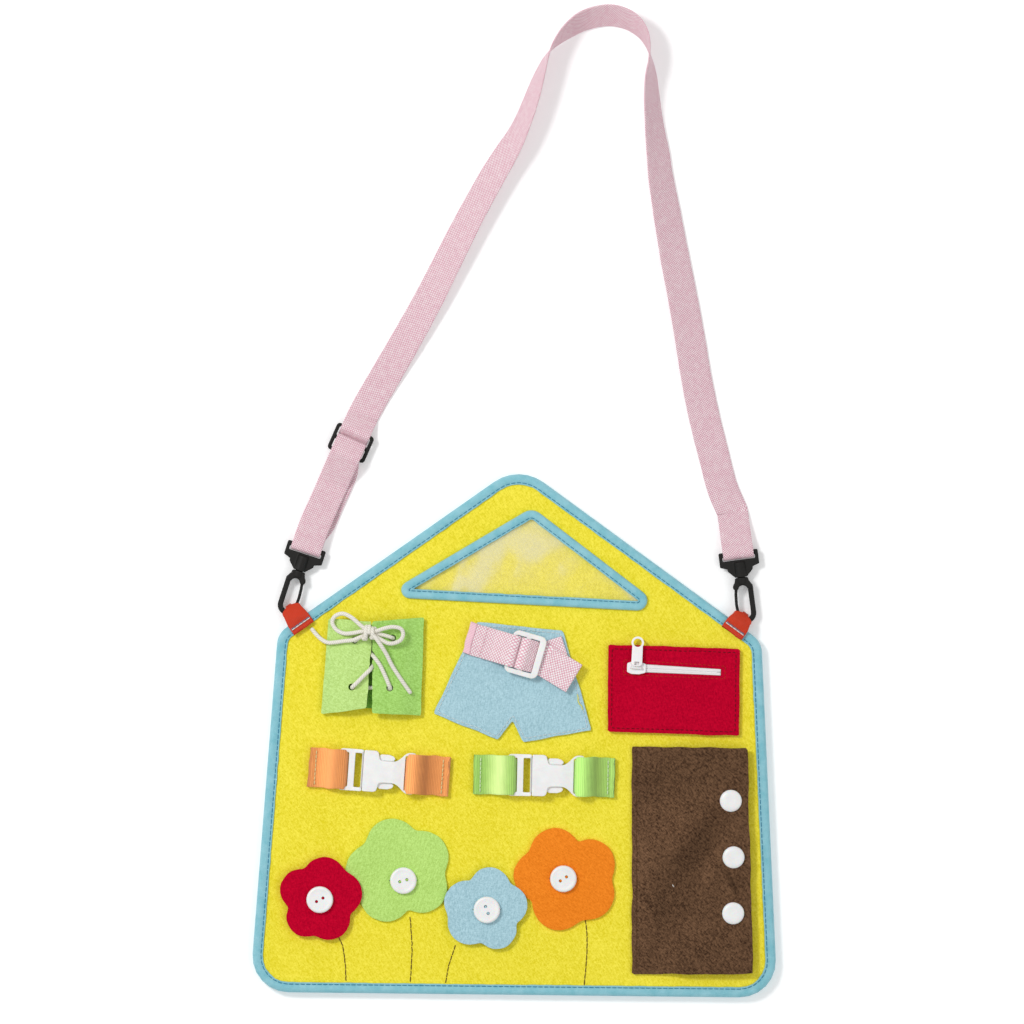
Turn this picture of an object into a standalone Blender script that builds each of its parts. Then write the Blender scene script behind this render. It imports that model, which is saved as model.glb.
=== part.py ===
"""Dressing skills board: a felt house with fastenings to practise on, and a shoulder strap.

Metres, +Z up. The board lies on its back, roof towards +Y, origin at the middle of its underside.
"""

import math

import bmesh
import bpy
from mathutils import Matrix, Vector

MM = 0.001

# Fits shared by all pieces
GAP = 0.3 * MM
FELT = 1.5 * MM
OVERRUN = 4.0 * MM
SMALL_ROUND = 0.4 * MM

# Board: a house outline from its corner points, as shares of its width and height
BOARD_WIDTH = 334.0 * MM
BOARD_HEIGHT = 334.0 * MM
BOARD_CORNER_SHARES = ((-0.5042, -0.488), (0.5024, -0.4994), (0.4719, 0.1797), (0.0096, 0.5177), (-0.4503, 0.1955))
BOARD_CORNER_RADII = (23.0 * MM, 23.0 * MM, 14.0 * MM, 27.0 * MM, 14.0 * MM)
CORE_THICKNESS = 2.0 * MM
BINDING_FABRIC = 0.8 * MM
BINDING_WIDTH = 6.7 * MM
BINDING_ROUND = 0.7 * MM

# Window in the gable
WINDOW_CENTRE_SHARES = (0.0172, 0.3425)
WINDOW_WIDTH = 156.0 * MM
WINDOW_HEIGHT = 64.3 * MM
WINDOW_CORNER_SHARES = ((0.037, 0.484), (-0.5815, -0.404), (0.598, -0.557))
WINDOW_CORNER_RADII = (9.0 * MM, 5.5 * MM, 6.5 * MM)
WINDOW_BINDING_WIDTH = 6.2 * MM
WINDOW_BINDING_THICKNESS = 2.4 * MM
WINDOW_SHEET = 0.5 * MM
WINDOW_SHEET_INSET = 2.0 * MM
WINDOW_LIP = 1.0 * MM

# Lace panel: a backing and two flaps that stand off it along the middle slit
LACE_PANEL_CENTRE_SHARES = (-0.2677, 0.1322)
LACE_PANEL_WIDTH = 62.0 * MM
LACE_PANEL_HEIGHT = 61.6 * MM
LACE_FLAP_CORNER_SHARES = ((-0.46, 0.498), (-0.022, 0.468), (-0.022, 0.23), (-0.073, -0.43), (-0.54, -0.49))
LACE_RIGHT_CORNER_SHARES = ((-0.012, 0.468), (0.517, 0.505), (0.484, -0.505), (-0.014, -0.48), (-0.012, 0.23))
LACE_NOTCH_SHARES = ((-0.0193, 0.127), (0.005, 0.103), (-0.0315, -0.021), (-0.0085, 0.004))
LACE_NOTCH_DIAMETER = 4.0 * MM
LACE_BACKING_INSET = 4.0 * MM
LACE_FLAP_RISE = 3.8 * MM
LACE_FLAP_SEAM = 5.0 * MM
LACE_FLAP_FLAT = 15.5 * MM
LACE_HOLE_DIAMETER = 5.0 * MM
LACE_HOLE_SHARES = ((-0.19, 0.269), (0.2, 0.292), (-0.218, -0.214), (0.171, -0.224))
LACE_DIAMETER = 2.8 * MM
LACE_POINT_SPACING = 2.9 * MM
BOW_POINT_SPACING = 4.2 * MM
KNOT_RADII = (5.2 * MM, 4.9 * MM, 3.4 * MM)

# The lace's route from the panel's centre, heights above the front felt, by hand
LACED_ROUTE = (
    (-3.0, 21.2, 10.4), (-6.6, 19.8, 9.8), (-9.0, 18.5, 9.5), (-11.2, 17.0, 8.7), (-11.9, 16.5, 6.6),
    (-11.2, 15.9, 4.8), (-9.2, 14.4, 3.7), (-6.0, 12.0, 3.4), (-3.2, 9.8, 3.5), (-1.6, 8.2, 4.5), (-0.45, 7.1, 6.6),
    (0.7, 5.9, 8.8), (2.3, 3.8, 9.6), (4.5, 0.4, 9.6), (7.6, -6.2, 9.6), (9.8, -11.5, 9.0), (10.7, -13.9, 6.6),
    (9.8, -14.0, 4.6), (7.0, -13.8, 3.6), (0.0, -13.5, 3.5), (-10.0, -13.3, 3.6), (-12.8, -13.2, 4.6),
    (-13.6, -13.3, 6.6), (-12.8, -12.3, 8.9), (-10.4, -10.0, 9.6), (-5.8, -5.3, 9.7), (-3.6, -3.2, 9.6),
    (-2.2, -1.8, 8.8), (-1.2, -0.5, 6.6), (-0.1, 0.9, 4.5), (1.4, 2.6, 3.5), (4.2, 6.0, 3.4), (9.4, 14.2, 3.6), (11.7, 17.1, 4.7),
    (12.5, 18.1, 6.6), (11.4, 18.6, 8.9), (8.4, 19.6, 9.7), (4.6, 20.6, 9.9), (1.0, 21.2, 10.4))
LEFT_LOOP_ROUTE = (
    (-3.6, 22.6, 11.6), (-8.4, 26.6, 11.2), (-14.0, 31.4, 10.2), (-19.6, 33.8, 9.0), (-24.6, 32.0, 7.6),
    (-26.2, 28.0, 7.0), (-23.6, 23.6, 7.6), (-18.6, 21.2, 8.8), (-12.6, 21.6, 10.6), (-8.2, 22.4, 11.6),
    (-4.4, 22.2, 11.6))
RIGHT_LOOP_ROUTE = (
    (-3.0, 21.6, 11.4), (2.0, 22.8, 12.0), (7.4, 24.6, 12.2), (12.6, 25.4, 12.2), (17.4, 24.2, 11.6),
    (18.9, 20.9, 11.2), (17.4, 17.2, 11.4), (13.6, 15.2, 11.8), (9.4, 15.0, 12.2), (4.6, 17.4, 12.0),
    (-1.0, 20.6, 11.2))
LEFT_TAIL_ROUTE = (
    (-4.2, 20.6, 10.6), (-8.6, 18.8, 11.2), (-13.2, 17.0, 10.4), (-18.6, 16.4, 9.2), (-24.0, 15.6, 7.4),
    (-29.2, 15.4, 5.8), (-33.2, 17.4, 4.2), (-36.8, 20.8, 2.9), (-39.7, 24.4, 2.2))
RIGHT_TAIL_ROUTE = (
    (-3.4, 22.2, 12.0), (-1.0, 21.0, 13.4), (2.0, 17.8, 14.0), (5.4, 12.8, 13.2), (8.6, 7.4, 11.4),
    (11.4, 1.6, 10.2), (15.2, -4.6, 9.4), (19.4, -10.8, 8.2), (23.7, -17.0, 6.8))

# Shorts with a belt
SHORTS_CENTRE_SHARES = (-0.0031, 0.103)
SHORTS_WIDTH = 100.7 * MM
SHORTS_HEIGHT = 76.5 * MM
SHORTS_CORNER_SHARES = (
    (-0.223, 0.5), (0.316, 0.424), (0.5, -0.402), (0.067, -0.5), (0.0, -0.318), (-0.092, -0.481),
    (-0.5, -0.262), (-0.323, 0.233))
BELT_CENTRE_SHARES = (0.0194, 0.156)
BELT_TURN = -16.0
BELT_WIDTH = 20.8 * MM
WEBBING = 1.2 * MM
BELT_FRAME_LENGTH = 20.6 * MM
BELT_END_BAR_EXTRA = 1.4 * MM
BELT_FRAME_WIDTH = 27.7 * MM
BELT_FRAME_THICKNESS = 2.4 * MM
BELT_BAR = 2.8 * MM
BELT_FRAME_ROUND = 4.0 * MM
BELT_LEFT_REACH = 38.0 * MM
BELT_HEM = 12.0 * MM
BELT_RIGHT_REACH = 28.0 * MM
BELT_TAIL_REACH = 35.5 * MM
BELT_RIGHT_TURN = 34.0
BELT_TAIL_TURN = -15.0

# Zip pocket
POCKET_CENTRE_SHARES = (0.3046, 0.0872)
POCKET_WIDTH = 83.8 * MM
POCKET_HEIGHT = 56.0 * MM
POCKET_CORNER_SHARES = ((-0.5, 0.52), (0.5, 0.471), (0.493, -0.52), (-0.506, -0.471))
ZIP_TURN = -3.0
ZIP_START_X = -24.0 * MM
ZIP_START_Y = 14.2 * MM
ZIP_LENGTH = 54.0 * MM
ZIP_SLOT_WIDTH = 5.8 * MM
ZIP_TAPE_THICKNESS = 0.8 * MM
ZIP_TAPE_WIDTH = 20.0 * MM
COIL_WIDTH = 4.4 * MM
COIL_THICKNESS = 2.3 * MM
COIL_PITCH = 2.2 * MM
COIL_NOTCH = 0.5 * MM
SLIDER_LENGTH = 12.0 * MM
SLIDER_WIDTH = 8.0 * MM
SLIDER_PLATE = 1.1 * MM
SLIDER_WALL = 1.0 * MM
SLIDER_NOSE_SHARE = 0.7
BAIL_HALF_SPAN = 3.3 * MM
BAIL_DIAMETER = 1.2 * MM
BAIL_RISE = 1.9 * MM
PULL_LENGTH = 16.2 * MM
PULL_THICKNESS = 1.2 * MM
PULL_STEM_WIDTH = 6.0 * MM
PULL_RING_DIAMETER = 8.3 * MM
PULL_HOLE_DIAMETER = 5.4 * MM
PULL_EYE_WALL = 0.8 * MM
PULL_EYE_WIDTH = 2.6 * MM
PULL_DROOP = 9.0

# Side-release buckles: lengths along the webbing from the socket's mouth
BUCKLES = (
    ("orange", (-0.2617, -0.0671), -4.0),
    ("green", (0.0599, -0.0752), -1.3))
TAB_WIDTH = 24.0 * MM
TAB_BAR_WIDTH = 21.0 * MM
TAB_SPREAD_LENGTH = 3.0 * MM
TAB_REACH = 25.6 * MM
TAB_RISE_REACH = 9.0 * MM
CLIP_WIDTH = 26.6 * MM
CLIP_THICKNESS = 3.6 * MM
CLIP_LENGTH = 16.0 * MM
CLIP_SLOT_WIDTH = 21.8 * MM
CLIP_END_BAR = 3.4 * MM
CLIP_TAB_SLOT = 3.0 * MM
CLIP_MIDDLE_BAR = 4.0 * MM
CLIP_OPEN_SLOT = 4.4 * MM
CLIP_NECK_WIDTH = 21.6 * MM
TONGUE_WIDTH = 5.2 * MM
TONGUE_LENGTH = 14.0 * MM
ARM_PIVOT = 2.6 * MM
ARM_OFFSET = 8.0 * MM
ARM_ROOT_RADIUS = 1.4 * MM
ARM_REACH = 20.0 * MM
ARM_LOBE_START = 9.8 * MM
ARM_LOBE_WIDTH = 11.0 * MM
ARM_BEAM = 2.4 * MM
SOCKET_LENGTH = 33.2 * MM
SOCKET_THICKNESS = 7.4 * MM
SOCKET_RIM_LENGTH = 9.1 * MM
SOCKET_RIM_WIDTH = 26.0 * MM
SOCKET_WAIST = 20.0 * MM
SOCKET_WAIST_WIDTH = 13.8 * MM
SOCKET_FLARE_WIDTH = 26.4 * MM
SOCKET_CAVITY_WIDTH = 22.8 * MM
SOCKET_CAVITY_LENGTH = 21.2 * MM
SOCKET_CAVITY_HEIGHT = 4.3 * MM
SOCKET_TAIL_THICKNESS = 3.8 * MM
SOCKET_END_BAR = 3.2 * MM
SOCKET_TAB_SLOT = 3.6 * MM
SOCKET_ROUND = 0.7 * MM

# Door with three snaps
DOOR_CENTRE_SHARES = (0.3384, -0.2371)
DOOR_WIDTH = 75.0 * MM
DOOR_HEIGHT = 144.8 * MM
DOOR_CORNER_SHARES = ((0.0, 0.5), (0.97, 0.495), (1.02, -0.497), (0.0, -0.5))
DOOR_RISE = 4.2 * MM
DOOR_RISE_SHARES = (0.16, 0.5)
SNAP_SHARES = ((0.829, 0.263), (0.852, 0.015), (0.849, -0.231))
CAP_DIAMETER = 14.0 * MM
CAP_THICKNESS = 1.8 * MM
CAP_POST_DIAMETER = 3.0 * MM
STUD_FLANGE_DIAMETER = 10.0 * MM
STUD_FLANGE = 0.9 * MM
STUD_DIAMETER = 4.2 * MM
STUD_HEIGHT = 2.9 * MM
SOCKET_SNAP_DIAMETER = 10.4 * MM
SOCKET_SNAP_HEIGHT = 2.5 * MM

# Flowers on two levels, each with a button on a thread shank
FLOWERS = (
    ("green", (-0.2111, -0.2754), (-2.9, 5.8), 34.0 * MM, 14.0, 0),
    ("orange", (0.0937, -0.2719), (1.8, 0.1), 33.5 * MM, 18.0, 0),
    ("red", (-0.3701, -0.3114), (0.4, 0.2), 27.0 * MM, -7.0, 1),
    ("blue", (-0.0521, -0.3308), (-0.9, 0.2), 27.0 * MM, -8.0, 1))
PETALS = 5
PETAL_POINTS = 50
PETAL_SIZE_SHARE = 0.485
PETAL_BLEND = 14
FLOWER_HOLE_DIAMETER = 4.4 * MM
SLIT_LENGTH = 18.0 * MM
SLIT_WIDTH = 1.0 * MM
BUTTON_DIAMETER = 17.0 * MM
BUTTON_THICKNESS = 3.0 * MM
BUTTON_DISH_DIAMETER = 11.0 * MM
BUTTON_DISH_DEPTH = 0.7 * MM
BUTTON_HOLE_DIAMETER = 1.8 * MM
BUTTON_HOLE_OFFSET = 1.8 * MM
SHANK_DIAMETER = 3.6 * MM

# Shoulder strap and its fittings
STRAP_WIDTH = 20.0 * MM
STRAP_POINT_SPACING = 12.0 * MM
HOOK_BAR = 3.0 * MM
HOOK_BAR_HEIGHT = 4.3 * MM
HOOK_FRAME_WIDTH = 25.2 * MM
HOOK_SLOT_WIDTH = 20.9 * MM
HOOK_SLOT_LENGTH = 2.6 * MM
HOOK_CROSS_BAR = 5.2 * MM
HOOK_SHOULDER_WIDTH = 16.0 * MM
HOOK_SHOULDER_LENGTH = 5.6 * MM
HUB_RADIUS = 4.0 * MM
HUB_LENGTH = 9.6 * MM
HUB_BORE_RADIUS = 2.5 * MM
HUB_BORE_LENGTH = 6.0 * MM
HOOK_NECK_RADIUS = 4.4 * MM
HOOK_NECK_LENGTH = 4.2 * MM
HOOK_RING_CENTRE = 38.2 * MM
HOOK_RING_RADIUS = 4.9 * MM
HOOK_WIRE = 3.4 * MM
HOOK_RING_END = 82.0
GATE_THICKNESS = 1.9 * MM
GATE_DEPTH = 3.0 * MM
GATE_ROOT_RADIUS = 1.2 * MM
GATE_ROOT_SHARE = 0.84
LEFT_RING_OUT = 11.05 * MM
LEFT_RING_ALONG = 15.68 * MM
LEFT_HOOK_HEADING = 72.0
RIGHT_RING_OUT = 8.85 * MM
RIGHT_RING_ALONG = 18.73 * MM
RIGHT_HOOK_HEADING = 97.5
LADDER_DISTANCE = 72.6 * MM
LADDER_HEADING = 66.2
LADDER_WIDTH = 25.6 * MM
LADDER_INNER_WIDTH = 20.9 * MM
LADDER_BAR = 2.2 * MM
LADDER_BAR_STEP = 8.0 * MM
STRAP_BEND_START = 4.0 * MM
STRAP_BEND_END = 20.0 * MM
STRAP_SEAM_REACH = 19.5 * MM
STRAP_SEWN_REACH = 22.0 * MM
STRAP_SKEW = 2.6 * MM

# The free strap's route between its fittings, by hand: x, y in mm and its lean in degrees, for rings at these centres
ROUTE_LEFT_RING = (-143.9 * MM, 83.35 * MM)
ROUTE_RIGHT_RING = (147.7 * MM, 78.2 * MM)
STRAP_ROUTE = (
    (-90.2, 215.2, 0.0), (-82.7, 228.0, 2.0), (-68.0, 253.4, 10.0), (-53.8, 279.2, 17.0), (-41.1, 304.6, 24.0),
    (-28.0, 330.4, 29.0), (-13.9, 356.0, 33.0), (-6.2, 368.8, 38.0), (1.2, 381.5, 49.0), (6.9, 394.2, 57.0),
    (11.7, 407.2, 62.0), (16.0, 420.0, 70.0), (21.0, 432.8, 84.0), (27.0, 441.6, 100.0), (35.0, 449.2, 116.0),
    (46.0, 455.8, 127.0), (60.5, 458.6, 130.0), (73.0, 455.4, 125.0), (81.2, 448.4, 112.0), (85.0, 440.0, 97.0),
    (86.6, 430.6, 84.0), (87.0, 419.8, 68.0), (87.6, 407.0, 60.0), (88.6, 394.2, 55.0), (90.0, 381.4, 48.0),
    (91.8, 368.8, 41.0), (93.2, 356.0, 36.0), (97.6, 330.4, 26.0), (102.2, 304.8, 19.0), (107.2, 279.2, 16.0),
    (111.8, 253.6, 12.0), (116.0, 228.0, 7.0), (121.2, 202.6, 2.0), (127.6, 177.0, 0.0), (132.6, 158.0, 0.0))

# Hook tabs of ribbon, sewn over the binding
TAB_RIBBON = 0.8 * MM
TAB_RIBBON_WIDTH = 15.4 * MM
TAB_CREST_WIDTH = 13.0 * MM
TAB_FOLD_WIDTH = 4.0 * MM
TAB_FOLD_LOOSE = 1.6 * MM
TAB_SEWN_LENGTH = 6.4 * MM
TAB_INSET = 6.6 * MM
TAB_EDGE_ROUND = 1.3 * MM

FACETS_ROUND = 20
FACETS_SMALL = 14
TURN_STEP = 20.0

# Levels of the layers, each a gap above the one below
BACK_BOTTOM = BINDING_FABRIC + GAP
CORE_BOTTOM = BACK_BOTTOM + FELT + GAP
FRONT_BOTTOM = CORE_BOTTOM + CORE_THICKNESS + GAP
FRONT_TOP = FRONT_BOTTOM + FELT
ON_FRONT = FRONT_TOP + GAP
BINDING_TOP = FRONT_TOP + GAP + BINDING_FABRIC
SECOND_LEVEL = ON_FRONT + FELT + GAP
STRAP_GROUND = GAP + WEBBING / 2

FLAT = Matrix.Identity(4)
UPRIGHT = Matrix.Rotation(math.pi / 2, 4, "X")
ALONG_X = Matrix.Rotation(math.pi / 2, 4, "Y")

COLOURS = {
    "yellow_felt": ((0.86, 0.76, 0.03), 0.95), "core": ((0.75, 0.72, 0.65), 0.9),
    "blue_binding": ((0.19, 0.51, 0.64), 0.85), "clear_vinyl": ((0.9, 0.92, 0.9), 0.15),
    "red_ribbon": ((0.62, 0.06, 0.02), 0.6), "green_felt": ((0.35, 0.68, 0.14), 0.95),
    "dark_green_felt": ((0.2, 0.45, 0.08), 0.95), "white_cotton": ((0.82, 0.8, 0.74), 0.8),
    "blue_felt": ((0.36, 0.6, 0.72), 0.95), "pink_webbing": ((0.79, 0.42, 0.53), 0.85),
    "white_plastic": ((0.85, 0.85, 0.83), 0.35), "red_felt": ((0.52, 0.0, 0.02), 0.95),
    "white_nylon": ((0.84, 0.83, 0.8), 0.5), "orange_webbing": ((0.87, 0.26, 0.08), 0.8),
    "green_webbing": ((0.3, 0.68, 0.1), 0.8), "brown_felt": ((0.1, 0.045, 0.025), 0.95),
    "orange_felt": ((0.91, 0.2, 0.03), 0.95), "black_plastic": ((0.03, 0.03, 0.027), 0.4)}


def scene_setup():
    for old in list(bpy.data.objects):
        bpy.data.objects.remove(old)
    parts = bpy.data.collections.new("dressing_skills_board")
    tools = bpy.data.collections.new("cutters")
    for collection in (parts, tools):
        bpy.context.scene.collection.children.link(collection)
    return parts, tools


PARTS, TOOLS = scene_setup()


def material(name):
    found = bpy.data.materials.get(name)
    if found:
        return found
    colour, roughness = COLOURS[name]
    made = bpy.data.materials.new(name)
    made.use_nodes = True
    shader = made.node_tree.nodes["Principled BSDF"]
    shader.inputs["Base Color"].default_value = (*colour, 1.0)
    shader.inputs["Roughness"].default_value = roughness
    shader.inputs["Metallic"].default_value = 0.0
    made.diffuse_color = (*colour, 1.0)
    return made


def add(name, mesh, finish, matrix):
    """A named part; a finish of None makes a cutter instead."""
    obj = bpy.data.objects.new(name, mesh)
    obj.matrix_world = matrix
    if finish is None:
        TOOLS.objects.link(obj)
        obj.hide_render = True
        obj.display_type = "WIRE"
    else:
        PARTS.objects.link(obj)
        mesh.materials.clear()
        mesh.materials.append(material(finish))
    return obj


def place(x, y, z=0.0, heading=0.0):
    return Matrix.Translation((x, y, z)) @ Matrix.Rotation(math.radians(heading), 4, "Z")


def board_point(shares):
    return (BOARD_WIDTH * shares[0], BOARD_HEIGHT * shares[1])


def scaled(shares, width, height):
    return [(width * x, height * y) for x, y in shares]


def bevel(obj, width, segments=2):
    modifier = obj.modifiers.new("Bevel", "BEVEL")
    modifier.width = width
    modifier.segments = segments
    modifier.limit_method = "ANGLE"
    modifier.angle_limit = math.radians(50.0)
    return obj


def combine(target, tool, operation):
    modifier = target.modifiers.new(operation.title(), "BOOLEAN")
    modifier.operation = operation
    modifier.object = tool
    modifier.solver = "EXACT"
    return target


def curve_mesh(name, curve):
    """The evaluated curve as a mesh with its caps welded."""
    holder = bpy.data.objects.new(name, curve)
    bpy.context.scene.collection.objects.link(holder)
    graph = bpy.context.evaluated_depsgraph_get()
    mesh = bpy.data.meshes.new_from_object(holder.evaluated_get(graph))
    bpy.data.objects.remove(holder)
    bpy.data.curves.remove(curve)
    shape = bmesh.new()
    shape.from_mesh(mesh)
    bmesh.ops.remove_doubles(shape, verts=shape.verts, dist=GAP / 100)
    bmesh.ops.dissolve_limit(shape, angle_limit=math.radians(0.5), verts=shape.verts, edges=shape.edges)
    bmesh.ops.recalc_face_normals(shape, faces=shape.faces)
    shape.to_mesh(mesh)
    shape.free()
    mesh.name = name
    return mesh


def prism(name, outlines, bottom, thickness, finish=None, matrix=FLAT, turned=FLAT):
    """A flat outline given thickness; outlines after the first are holes in it."""
    curve = bpy.data.curves.new(name, "CURVE")
    curve.dimensions = "2D"
    curve.fill_mode = "BOTH"
    curve.extrude = thickness / 2
    for outline in outlines:
        spline = curve.splines.new("POLY")
        spline.points.add(len(outline) - 1)
        for point, (x, y) in zip(spline.points, outline):
            point.co = (x, y, 0.0, 1.0)
        spline.use_cyclic_u = True
    mesh = curve_mesh(name, curve)
    mesh.transform(turned @ Matrix.Translation((0.0, 0.0, bottom + thickness / 2)))
    return add(name, mesh, finish, matrix)


def tube(name, points, diameter, finish=None, matrix=FLAT, resolution=2):
    curve = bpy.data.curves.new(name, "CURVE")
    curve.dimensions = "3D"
    curve.bevel_depth = diameter / 2
    curve.bevel_resolution = resolution
    curve.use_fill_caps = True
    spline = curve.splines.new("POLY")
    spline.points.add(len(points) - 1)
    for point, place_at in zip(spline.points, points):
        point.co = (*place_at, 1.0)
    return add(name, curve_mesh(name, curve), finish, matrix)


def cylinder(name, radius, bottom, length, finish=None, matrix=FLAT, turned=FLAT, end_radius=None, facets=FACETS_ROUND):
    shape = bmesh.new()
    bmesh.ops.create_cone(
        shape, cap_ends=True, segments=facets, depth=length,
        radius1=radius, radius2=radius if end_radius is None else end_radius)
    mesh = bpy.data.meshes.new(name)
    shape.to_mesh(mesh)
    shape.free()
    mesh.transform(turned @ Matrix.Translation((0.0, 0.0, bottom + length / 2)))
    return add(name, mesh, finish, matrix)


def turned_part(name, profile, finish=None, matrix=FLAT, facets=FACETS_ROUND):
    """A profile of radius and height, listed down its outer side, turned about Z."""
    mesh = bpy.data.meshes.new(name)
    points = [(radius, 0.0, height) for radius, height in profile]
    mesh.from_pydata(points, [(i, i + 1) for i in range(len(points) - 1)], [])
    obj = add(name, mesh, finish, matrix)
    screw = obj.modifiers.new("Screw", "SCREW")
    screw.steps = facets
    screw.render_steps = facets
    screw.use_merge_vertices = True
    screw.merge_threshold = GAP / 30
    return obj


def box(name, low, high, finish=None, matrix=FLAT):
    shape = bmesh.new()
    bmesh.ops.create_cube(shape, size=1.0)
    middle = [(a + b) / 2 for a, b in zip(low, high)]
    size = [b - a for a, b in zip(low, high)]
    bmesh.ops.scale(shape, vec=size, verts=shape.verts)
    bmesh.ops.translate(shape, vec=middle, verts=shape.verts)
    mesh = bpy.data.meshes.new(name)
    shape.to_mesh(mesh)
    shape.free()
    return add(name, mesh, finish, matrix)


def circle(radius, centre=(0.0, 0.0), facets=FACETS_ROUND):
    return [
        (centre[0] + radius * math.cos(math.tau * i / facets), centre[1] + radius * math.sin(math.tau * i / facets))
        for i in range(facets)]


def rounded(corners, radii, inset=0.0, steps=5):
    """A polygon with its corners listed anticlockwise, moved inwards and rounded."""
    count = len(corners)
    points = [Vector(corner) for corner in corners]
    moved = []
    for i in range(count):
        before, here, after = points[i - 1], points[i], points[(i + 1) % count]
        come = (here - before).normalized()
        leave = (after - here).normalized()
        come_in = Vector((-come.y, come.x))
        leave_in = Vector((-leave.y, leave.x))
        middle = (come_in + leave_in).normalized()
        moved.append(here + middle * (inset / middle.dot(come_in)))
    outline = []
    for i in range(count):
        here = moved[i]
        come = (here - moved[i - 1]).normalized()
        leave = (moved[(i + 1) % count] - here).normalized()
        radius = max(radii[i] - inset, SMALL_ROUND)
        turn = math.acos(max(-1.0, min(1.0, come.dot(leave))))
        if come.x * leave.y - come.y * leave.x <= 0.0:
            outline.append(tuple(here))
            continue
        start = here - come * (radius * math.tan(turn / 2))
        centre = start + Vector((-come.y, come.x)) * radius
        first = math.atan2(start.y - centre.y, start.x - centre.x)
        for step in range(steps + 1):
            angle = first + turn * step / steps
            outline.append((centre.x + radius * math.cos(angle), centre.y + radius * math.sin(angle)))
    return outline


def rectangle(left, right, low, high, radius=None):
    corners = [(left, low), (right, low), (right, high), (left, high)]
    if radius is None:
        return corners
    return rounded(corners, [radius] * len(corners))


def thick_outline(points, thickness):
    """The outline of an open line given thickness, half to each side."""
    line = [Vector(point) for point in points]
    left, right = [], []
    for i, here in enumerate(line):
        come = (here - line[max(i - 1, 0)]) if i else (line[1] - here)
        leave = (line[i + 1] - here) if i < len(line) - 1 else come
        come, leave = come.normalized(), leave.normalized()
        normal = Vector((-(come + leave).y, (come + leave).x)).normalized()
        reach = thickness / 2 / max(normal.dot(Vector((-come.y, come.x))), 0.5)
        left.append(tuple(here + normal * reach))
        right.append(tuple(here - normal * reach))
    return left + right[::-1]


def belt_line(pulleys, step=TURN_STEP):
    """A line drawn tight round pulleys of centre, radius and side: +1 turns clockwise, -1 anticlockwise."""
    headings = []
    for (x0, z0, r0, s0), (x1, z1, r1, s1) in zip(pulleys, pulleys[1:]):
        reach = math.hypot(x1 - x0, z1 - z0)
        lean = math.asin((r0 * s0 - r1 * s1) / reach)
        headings.append(math.atan2(z1 - z0, x1 - x0) - lean)
    headings = [headings[0]] + headings + [headings[-1]]
    line = []
    for (x, z, radius, side), come, leave in zip(pulleys, headings, headings[1:]):
        turn = 0.0
        if radius:
            turn = (side * (come - leave)) % math.tau
            turn = 0.0 if turn > math.radians(350.0) else turn
        steps = max(1, math.ceil(math.degrees(turn) / step)) if turn else 0
        for i in range(steps + 1):
            angle = come - side * turn * i / max(steps, 1)
            line.append((x - math.sin(angle) * radius * side, z + math.cos(angle) * radius * side))
    return line


def smooth(points, spacing):
    """Points at about even steps along a smooth curve through the given ones, in any dimension."""
    knots = [points[0]] + list(points) + [points[-1]]
    fine = []
    pieces = 12
    for i in range(1, len(knots) - 2):
        p0, p1, p2, p3 = (Vector(knots[i + k]) for k in (-1, 0, 1, 2))
        for j in range(pieces):
            t = j / pieces
            fine.append(
                0.5 * (2 * p1 + (p2 - p0) * t + (2 * p0 - 5 * p1 + 4 * p2 - p3) * t * t
                       + (3 * p1 - p0 - 3 * p2 + p3) * t ** 3))
    fine.append(Vector(knots[-1]))
    lengths = [0.0]
    for a, b in zip(fine, fine[1:]):
        lengths.append(lengths[-1] + (b - a).length)
    count = max(2, round(lengths[-1] / spacing))
    result = []
    at = 0
    for i in range(count + 1):
        target = lengths[-1] * i / count
        while at < len(lengths) - 2 and lengths[at + 1] < target:
            at += 1
        span = lengths[at + 1] - lengths[at]
        result.append(fine[at].lerp(fine[at + 1], (target - lengths[at]) / span if span else 0.0))
    return result


def webbing(name, rows, thickness, finish, matrix=FLAT):
    """A woven strip from rows of centre, crosswise direction and width."""
    mesh = bpy.data.meshes.new(name)
    points = []
    for centre, cross, width in rows:
        points.append(centre - cross * (width / 2))
        points.append(centre + cross * (width / 2))
    faces = [(2 * i, 2 * i + 1, 2 * i + 3, 2 * i + 2) for i in range(len(rows) - 1)]
    mesh.from_pydata(points, [], faces)
    obj = add(name, mesh, finish, matrix)
    solidify = obj.modifiers.new("Solidify", "SOLIDIFY")
    solidify.thickness = thickness
    solidify.offset = 0.0
    solidify.use_even_offset = True
    return obj


def straight_rows(line, width_at):
    """Rows for a strip whose line lies in the local XZ plane."""
    return [(Vector((x, 0.0, z)), Vector((0.0, 1.0, 0.0)), width_at(x)) for x, z in line]


def centred_board_corners():
    corners = scaled(BOARD_CORNER_SHARES, BOARD_WIDTH, BOARD_HEIGHT)
    outline = rounded(corners, BOARD_CORNER_RADII)
    middle_x = (min(p[0] for p in outline) + max(p[0] for p in outline)) / 2
    middle_y = (min(p[1] for p in outline) + max(p[1] for p in outline)) / 2
    return [(x - middle_x, y - middle_y) for x, y in corners]


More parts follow.
